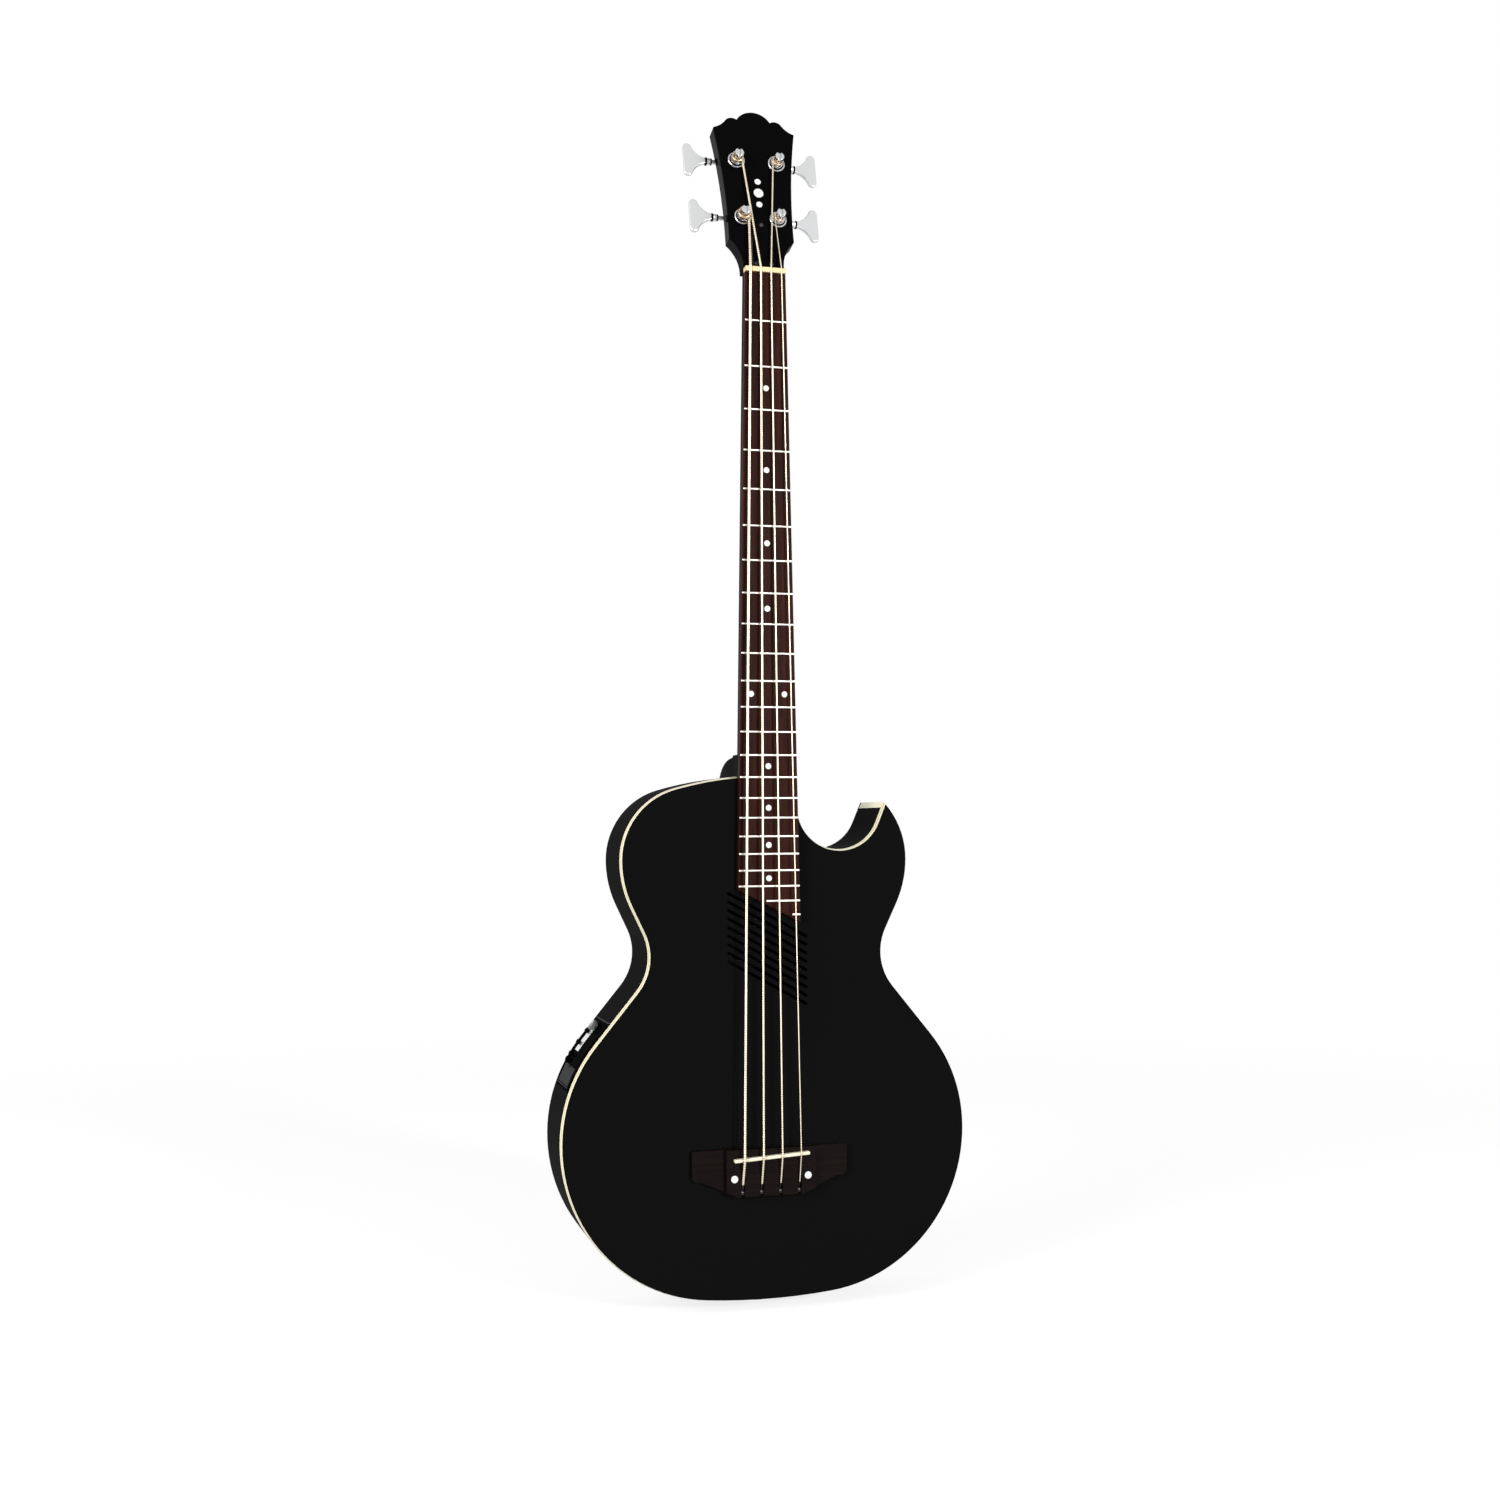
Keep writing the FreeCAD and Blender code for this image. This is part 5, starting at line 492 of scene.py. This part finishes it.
def wound_wire(name, valley, crest, shade_slots=False):
    """Wire wound round a core; when asked, its lowest end is painted near black, as painted shade
    for the bridge's slots.
    """
    made, tree, shader, where = finish(name, crest, 0.34, Metallic=1.0)
    height = split(tree, where)["Z"]
    turns = calculate(tree, "SINE", calculate(tree, "MULTIPLY", height, WINDINGS_PER_METRE))
    turns = calculate(tree, "MULTIPLY_ADD", turns, 0.5, 0.5)
    colour = mix(tree, turns, (*valley, 1), (*crest, 1))
    tarnish = node(tree, "ShaderNodeTexNoise", Vector=where, Scale=45.0, Detail=3.0)
    # Painted shade: below the top of the bridge's slots the string turns near black and not
    # metallic.
    if shade_slots:
        slot_shade_mask = node(tree, "ShaderNodeMapRange", Value=height, From_Min=SLOT_SHADE_TOP + SLOT_SHADE_EDGE,
                       From_Max=SLOT_SHADE_TOP).outputs["Result"]
        colour = mix(tree, slot_shade_mask, colour, SLOT_SHADE_BLACK)
        tree.links.new(calculate(tree, "SUBTRACT", 1.0, slot_shade_mask), shader.inputs["Metallic"])
    tree.links.new(colour, shader.inputs["Base Color"])
    tree.links.new(ramp(tree, tarnish.outputs["Fac"], (0.3, 0.26), (0.7, 0.42)),
                   shader.inputs["Roughness"])
    dent(tree, shader, turns, 0.3, 0.0002)
    return made


string_metal = wound_wire("wound_bronze", (0.60, 0.50, 0.34), (0.94, 0.86, 0.68), shade_slots=True)
turned_metal = wound_wire("turned_bronze", (0.42, 0.27, 0.16), (0.84, 0.60, 0.40))

# %% [markdown]
# Plastics: satin black for the preamp, a glossier black for its sliders, grey for its knob and its
# battery door, a black cover plate for the truss rod, and the silver label beside the sliders.

# %% Plastics and label
SATIN_BLACK, GLOSS_BLACK = (0.0014, 0.0014, 0.0016), (0.0025, 0.0025, 0.0028)


def plastic(name, colour, roughness, texture, strength, coat=0.0, level=0.4):
    """Moulded plastic: texture is how fine its bumps are, and level how much it mirrors."""
    made, tree, shader, where = finish(name, colour, roughness, Coat_Weight=coat)
    shader.inputs["Specular IOR Level"].default_value = level
    out = use_group(tree, handled, Vector=where, Waves=texture, Base_roughness=roughness, Wear=0.1)
    tree.links.new(out["Roughness"], shader.inputs["Roughness"])
    dent(tree, shader, out["Height"], strength, 0.0002)
    return made


preamp_plastic = plastic("preamp_plastic", SATIN_BLACK, 0.42, 1400.0, 0.12, 0.012, 0.0)
frame_plastic = plastic("frame_plastic", SATIN_BLACK, 0.42, 1400.0, 0.12, 0.012, 0.0)
slider_plastic = plastic("slider_plastic", GLOSS_BLACK, 0.28, 700.0, 0.05, 0.04, 0.0)
knob_plastic = plastic("knob_plastic", GLOSS_BLACK, 0.28, 700.0, 0.05, 0.04, 0.0)
knob_grey = plastic("knob_grey", (0.20, 0.20, 0.205), 0.32, 300.0, 0.04, 0.25, 0.3)
door_grey = plastic("door_grey", (0.045, 0.045, 0.047), 0.40, 900.0, 0.08, 0.05, 0.0)
cover_plastic = plastic("cover_plastic", (0.0022, 0.0022, 0.0026), 0.20, 60.0, 0.03, 0.03, 0.0)
# Blackened steel for the truss rod cover's screws; it is also laid on the ball ends as painted
# shade.
screw_black_and_ball_shade = metal("blackened_screw_and_ball_shade", (0.05, 0.05, 0.055), 0.35)
lead_plastic = plastic("lead_sheath", (0.012, 0.012, 0.012), 0.55, 300.0, 0.1)
battery_paint = plastic("battery_paint", (0.06, 0.07, 0.08), 0.35, 200.0, 0.05, 0.2)
label_silver = metal("label_silver", (0.80, 0.81, 0.82), 0.30, (1, 1, 0.02), 1200.0, 0.1, 0.05)

# %% [markdown]
# Small printed marks and painted highlights are worked out from where a point lies or which way it
# faces: the frame's upper face and the truss rod cover's bevel are painted lighter as highlights,
# each slider has a white line, the label has a row of ticks, and the battery door is moulded with
# fine ribs.

# %% Marks on the plastics
FACES_UP, FACES_FRONT = 0.9, 0.93
HEAD_TILT = math.radians(13)
HEAD_NORMAL = (0, -math.cos(HEAD_TILT), math.sin(HEAD_TILT))
MARK_HALF = 0.0003
TICK_STEP, TICK_HALF, TICK_LONG = 0.0021, 0.0002, 0.0016
RIBS_PER_METRE = 5200.0


def base_colour(material, mask, colour):
    """Lays a colour over the base colour of a material where the mask is one."""
    tree = material.node_tree
    socket = tree.nodes["Principled BSDF"].inputs["Base Color"]
    below = socket.links[0].from_socket if socket.links else tuple(socket.default_value)
    tree.links.new(mix(tree, mask, below, (*colour, 1)), socket)


def near(tree, value, middle, half):
    """One where a value is within half of the middle."""
    offset = calculate(tree, "ABSOLUTE", calculate(tree, "SUBTRACT", value, middle))
    return calculate(tree, "LESS_THAN", offset, half)


# Painted highlight: the frame's upper face, which faces up, is made lighter grey, as if it caught
# the light.
tree = frame_plastic.node_tree
upper_face_highlight = calculate(tree, "GREATER_THAN", split(tree, normal(tree))["Z"], FACES_UP)
base_colour(frame_plastic, upper_face_highlight, (0.13, 0.13, 0.135))

# Painted highlight: the truss rod cover turns lighter grey on its bevel, where it leans away from
# the headstock's face, standing in for the light that the bevel catches.
tree = cover_plastic.node_tree
highlight_facing = node(tree, "ShaderNodeVectorMath", {"operation": "DOT_PRODUCT"}, i0=normal(tree),
              i1=HEAD_NORMAL)
base_colour(cover_plastic, calculate(tree, "LESS_THAN", highlight_facing.outputs["Value"], FACES_FRONT),
            (0.10, 0.10, 0.11))

tree = slider_plastic.node_tree
low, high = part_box("bass_slider")
middle_line = near(tree, object_place(tree)["Y"], (low[1] + high[1]) / 2, MARK_HALF)
base_colour(slider_plastic, middle_line, (0.75, 0.75, 0.75))

tree = label_silver.node_tree
low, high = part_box("preamp_label")
place = object_place(tree)
row = calculate(tree, "PINGPONG", calculate(tree, "SUBTRACT", place["Z"], low[2]), TICK_STEP / 2)
ticks = calculate(tree, "MULTIPLY", calculate(tree, "LESS_THAN", row, TICK_HALF),
                  near(tree, place["Y"], low[1] + TICK_LONG, TICK_LONG / 2))
base_colour(label_silver, ticks, (0.02, 0.02, 0.022))

tree = door_grey.node_tree
ribs = calculate(tree, "MULTIPLY", object_place(tree)["Z"], RIBS_PER_METRE)
ribs = calculate(tree, "SINE", ribs)
dent(tree, tree.nodes["Principled BSDF"], ribs, 0.6, 0.0003)

# %% [markdown]
# Each material slot of the record now has its finish, and a few nodes have one of their own. Every
# solid gets its finish here, and the dressed copies below inherit it.

# %% Finish of each slot
finish_of = {
    "black_top": black_top, "black_side": black_side, "black_neck": black_neck,
    "inner_wood": pale_wood, "dark_wood": bridge_wood, "binding": binding_cream,
    "fret_metal": fret_metal, "bright_metal": chrome, "steel": steel,
    "string_wire": string_metal, "pearl": pearl, "bone": bone, "black_plastic": preamp_plastic,
    "control_cap": knob_plastic, "label_metal": label_silver, "battery_case": battery_paint,
    "lead_cover": lead_plastic, "cover_plate": cover_plastic}
special = {
    "fingerboard": fingerboard_wood, "headstock_face": black_head, "nut": oiled_bone,
    "top_braces": shaded_wood, "back_braces": shaded_wood, "truss_cover_screws": screw_black_and_ball_shade,
    # Painted shade: the ball ends sit in the bridge's slots and are made black so that they read as
    # shadowed.
    "string_windings": turned_metal, "ball_ends": screw_black_and_ball_shade, "volume_knob": knob_grey,
    "battery_door": door_grey, "preamp_frame": frame_plastic, "bass_slider": slider_plastic,
    "middle_slider": slider_plastic, "treble_slider": slider_plastic}
special.update({"key_" + letter: key_chrome for letter in "eadg"})
for name, solid in nodes.items():
    solid.data.materials.clear()
    solid.data.materials.append(special.get(name, finish_of[slot_of[name]]))

# %% [markdown]
# ## Softened edges
# No edge on a real instrument is knife sharp, and an edge only shows when it catches the light.
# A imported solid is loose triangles, so a copy is merged first, its flat faces are joined up again,
# its sharp edges are rounded with a bevel, and it is shaded smooth where it curves.

# %% Helper for dressed copies
WELD = 0.000005
FLAT_ANGLE, SHARP_ANGLE = math.radians(0.4), math.radians(30)


def only(piece):
    """Selects one object and makes it active."""
    bpy.ops.object.select_all(action="DESELECT")
    piece.select_set(True)
    bpy.context.view_layer.objects.active = piece


def apply_all(piece):
    """Applies the modifiers of a piece in order."""
    only(piece)
    for modifier in list(piece.modifiers):
        bpy.ops.object.modifier_apply(modifier=modifier.name)


def carried(piece, solid):
    """The piece rides with the solid's body, and the solid is hidden."""
    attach(piece, body_of[solid])
    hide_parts(solid)


def dressed(solid, edge=0.0, segments=2, join_faces=True):
    """A merged copy of a solid with rounded edges, in its place."""
    piece = bpy.data.objects.new(solid + "_dressed", nodes[solid].data.copy())
    bpy.context.scene.collection.objects.link(piece)
    only(piece)
    bpy.ops.object.mode_set(mode="EDIT")
    bpy.ops.mesh.select_all(action="SELECT")
    bpy.ops.mesh.remove_doubles(threshold=WELD)
    if join_faces:
        bpy.ops.mesh.dissolve_limited(angle_limit=FLAT_ANGLE)
    bpy.ops.object.mode_set(mode="OBJECT")
    if edge:
        bevel = piece.modifiers.new("edge", "BEVEL")
        bevel.width = edge
        bevel.segments = segments
        bevel.limit_method = "ANGLE"
        bevel.angle_limit = SHARP_ANGLE
        bevel.use_clamp_overlap = True
        bevel.miter_outer = "MITER_ARC"
        apply_all(piece)
    only(piece)
    bpy.ops.object.shade_smooth_by_angle(angle=SHARP_ANGLE)
    weighted = piece.modifiers.new("shading", "WEIGHTED_NORMAL")
    weighted.keep_sharp = True
    apply_all(piece)
    print(solid, "faces", len(piece.data.polygons))
    carried(piece, solid)

# %% [markdown]
# The body first: the top meets the slanted binding almost without a step, so their edges are
# rounded only a hair, and the edge of the back more.

# %% Body
dressed("soundboard", 0.0003, 2)
dressed("back", 0.0012, 3)
dressed("body_binding", 0.0002, 2)
dressed("bass_side", 0.0)
dressed("treble_side", 0.0)

# %% [markdown]
# The neck and headstock, the fingerboard with its rounded arrises, the crowned frets, and the
# bone nut.

# %% Neck and head
dressed("neck", 0.0008, 3)
dressed("headstock_face", 0.0004, 2)
dressed("fingerboard", 0.0006, 3)
dressed("frets", 0.0002, 2)
dressed("nut", 0.0005, 3)
dressed("headstock_inlay", 0.0)
dressed("position_dots", 0.0)
dressed("truss_cover", 0.0003, 2)

# %% [markdown]
# The bridge has soft, hand-sanded edges, and the saddle a rounded crown that the strings bear on.

# %% Bridge
dressed("bridge", 0.0009, 3)
dressed("saddle", 0.0012, 4)
dressed("bridge_dots", 0.0002, 2)

# %% [markdown]
# Strings, ball ends and the turns round the posts keep their shape and are only shaded smooth.

# %% Strings
for letter in "eadg":
    dressed("string_" + letter, 0.0, join_faces=False)
dressed("string_windings", 0.0, join_faces=False)
dressed("ball_ends", 0.0003, 2)

# %% [markdown]
# The tuning machines: plates with crisp edges, turned posts and bushings, and cast keys.

# %% Tuning machines
dressed("tuner_plates", 0.0003, 2)
dressed("tuner_bushings", 0.0003, 2)
dressed("tuner_screws", 0.0002, 2)
dressed("truss_cover_screws", 0.0002, 2)
for letter in "eadg":
    dressed("post_" + letter, 0.00025, 2)
    dressed("key_" + letter, 0.0003, 2)

# %% [markdown]
# Preamp, its controls, the strap button and the end jack.

# %% Preamp and fittings
dressed("preamp_frame", 0.0005, 3)
dressed("preamp_box", 0.0002, 2)
dressed("preamp_label", 0.0001, 1)
dressed("volume_knob", 0.0004, 2)
for name in ("bass_slider", "middle_slider", "treble_slider", "phase_button"):
    dressed(name, 0.0003, 2)
dressed("battery_door", 0.0003, 2)
dressed("strap_button", 0.0006, 3)
dressed("end_jack", 0.0004, 2)

# %% [markdown]
# ## Turned rings
# Several small rings are turned on a lathe on the real instrument: the raised rim and the black
# gasket of each bushing, and the nylon washers on both sides of each key's collar. Each is made
# from a circle that is extruded round its profile, so its section closes on itself.

# %% Helper for rings
RING_STEPS = 40
RING_WELD = 0.000002
RING_SHARP = math.radians(35)


def turned_ring(name, profile, place, axis):
    """A ring turned about an axis; the profile is a loop of (radius, height along the axis)."""
    bpy.ops.object.select_all(action="DESELECT")
    bpy.ops.mesh.primitive_circle_add(vertices=RING_STEPS, radius=profile[0][0])
    ring = bpy.context.object
    ring.name = name
    bpy.ops.object.mode_set(mode="EDIT")
    bpy.ops.mesh.select_all(action="SELECT")
    bpy.ops.transform.translate(value=(0, 0, profile[0][1]))
    for before, after in zip(profile, profile[1:] + profile[:1]):
        bpy.ops.mesh.extrude_region_move(
            TRANSFORM_OT_translate={"value": (0, 0, after[1] - before[1])})
        share = after[0] / before[0]
        bpy.ops.transform.resize(value=(share, share, 1), center_override=(0, 0, after[1]))
    bpy.ops.mesh.select_all(action="SELECT")
    bpy.ops.mesh.remove_doubles(threshold=RING_WELD)
    bpy.ops.mesh.normals_make_consistent(inside=False)
    bpy.ops.object.mode_set(mode="OBJECT")
    ring.matrix_world = (Matrix.Translation(place)
                         @ Vector(axis).to_track_quat("Z", "Y").to_matrix().to_4x4())
    only(ring)
    bpy.ops.object.transform_apply(location=True, rotation=True, scale=True)
    bpy.ops.object.shade_smooth_by_angle(angle=RING_SHARP)
    return ring


def fitted(ring, solid, material):
    """Gives a ring its material and lets it ride with a solid."""
    ring.data.materials.clear()
    ring.data.materials.append(material)
    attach(ring, body_of[solid])

# %% [markdown]
# Each bushing's washer lies on the headstock's face. Its axis is its post's axis: the joint that
# turns the post gives the line, and the face's plane gives the height.

# %% Rings of the bushings
RIM_OUT, RIM_IN, RIM_TALL = 0.0087, 0.0077, 0.00160
RIM_SHOULDER, RIM_DRAWN, RIM_FLARED = 0.8, 0.96, 1.03
GASKET_OUT, GASKET_IN, GASKET_TALL = 0.0074, 0.0064, 0.00130
WASHER_FOOT = 0.0008
joints = {joint["child"]: joint for joint in frame["record"]["behaviour"]["joints"]}


def joint_line(solid):
    """A point on the axis that a solid turns about, and the axis itself."""
    joint = joints[body_of[solid]]
    return Vector(joint["pos_m"]), Vector(joint["axis"]).normalized()


def square_ring(outer, inner, foot, top):
    """The profile of a ring with a rectangular section."""
    return [(outer, foot), (outer, top), (inner, top), (inner, foot)]


for letter in "eadg":
    place, inward = joint_line("post_" + letter)
    face_depth = min(corner.co @ inward for corner in nodes["headstock_face"].data.vertices)
    place = place + inward * (face_depth - place @ inward)
    rim = turned_ring("bushing_rim_" + letter, [
        (RIM_OUT, WASHER_FOOT), (RIM_OUT, RIM_TALL * RIM_SHOULDER),
        (RIM_OUT * RIM_DRAWN, RIM_TALL), (RIM_IN * RIM_FLARED, RIM_TALL),
        (RIM_IN, WASHER_FOOT)], place, -inward)
    fitted(rim, "tuner_bushings", chrome)
    gasket = turned_ring("bushing_gasket_" + letter,
                         square_ring(GASKET_OUT, GASKET_IN, WASHER_FOOT, GASKET_TALL),
                         place, -inward)
    fitted(gasket, "tuner_bushings", knob_plastic)
print("bushing rings at", [round(v, 4) for v in place])

# %% [markdown]
# A key's collar sits between two black nylon washers: one against the paddle, and a smaller one
# where the shaft leaves the headstock.

# %% Washers of the keys
PADDLE_LONG, COLLAR_LONG = 0.024, 0.004
OUTER_WASHER = square_ring(0.0041, 0.0026, -0.0004, 0.0012)
INNER_WASHER = square_ring(0.0034, 0.0022, -0.0016, 0.0)
for letter in "eadg":
    place = joint_line("key_" + letter)[0]
    side = math.copysign(1, place.x)
    reach = max(abs(corner[0]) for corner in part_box("key_" + letter)) - PADDLE_LONG
    for name, profile, distance in (("outer", OUTER_WASHER, reach),
                                    ("inner", INNER_WASHER, reach - COLLAR_LONG)):
        washer = turned_ring("key_washer_%s_%s" % (name, letter), profile,
                             (side * distance, place.y, place.z), (side, 0, 0))
        fitted(washer, "key_" + letter, knob_plastic)
print("key washers", round(reach, 4), "from the centre line")

# %% [markdown]
# The volume knob has a fluted skirt, made from a ring whose every second outer edge is drawn in,
# and a pearl pointer on its face.

# %% Fluted skirt and pointer of the knob
SKIRT_OUT, SKIRT_IN, FLUTE_SHARE = 0.0054, 0.0045, 0.94
SKIRT_FOOT, SKIRT_TOP = 0.0013, 0.0042
POINTER_LONG, POINTER_WIDE, POINTER_TALL = 0.0030, 0.0007, 0.0004
POINTER_OUT, POINTER_EDGE = POINTER_LONG * 0.6, POINTER_TALL * 0.4
place, axis = joint_line("volume_knob")
outward = axis if axis.x < 0 else -axis
skirt = turned_ring("knob_skirt", square_ring(SKIRT_OUT, SKIRT_IN, SKIRT_FOOT, SKIRT_TOP),
                    place, outward)
only(skirt)
bpy.ops.object.mode_set(mode="EDIT")
bpy.ops.mesh.select_mode(type="VERT")
bpy.ops.mesh.select_all(action="DESELECT")
bpy.ops.object.mode_set(mode="OBJECT")
for corner in skirt.data.vertices:
    spoke = corner.co - place
    spoke = spoke - outward * (spoke @ outward)
    turn = math.atan2(spoke @ outward.cross((0, 1, 0)), spoke.y) / math.tau * RING_STEPS
    corner.select = spoke.length > (SKIRT_OUT + SKIRT_IN) / 2 and round(turn) % 2 == 1
print("flutes", sum(corner.select for corner in skirt.data.vertices) // 2)
bpy.ops.object.mode_set(mode="EDIT")
bpy.ops.transform.resize(value=(FLUTE_SHARE,) * 3, center_override=tuple(
    place + outward * (SKIRT_FOOT + SKIRT_TOP) / 2))
bpy.ops.object.mode_set(mode="OBJECT")
bpy.ops.object.shade_flat()
fitted(skirt, "volume_knob", knob_grey)

knob_top = max((corner.co - place) @ outward for corner in nodes["volume_knob"].data.vertices)
bpy.ops.object.select_all(action="DESELECT")
bpy.ops.mesh.primitive_cube_add(size=1)
pointer = bpy.context.object
pointer.name = "knob_pointer"
pointer.matrix_world = (Matrix.Translation(place + outward * knob_top)
                        @ outward.to_track_quat("Z", "Y").to_matrix().to_4x4()
                        @ Matrix.Translation((0, POINTER_OUT, 0))
                        @ Matrix.Diagonal((POINTER_WIDE, POINTER_LONG, POINTER_TALL, 1)))
only(pointer)
bpy.ops.object.transform_apply(location=True, rotation=True, scale=True)
bpy.ops.object.mode_set(mode="EDIT")
bpy.ops.mesh.select_all(action="SELECT")
bpy.ops.mesh.bevel(offset=POINTER_EDGE, segments=2)
bpy.ops.object.mode_set(mode="OBJECT")
fitted(pointer, "volume_knob", pearl)

# %% [markdown]
# ## Closing
# The render should show colours as they are written, so the view transform is the plain one.

# %% View
bpy.context.scene.view_settings.view_transform = "Standard"
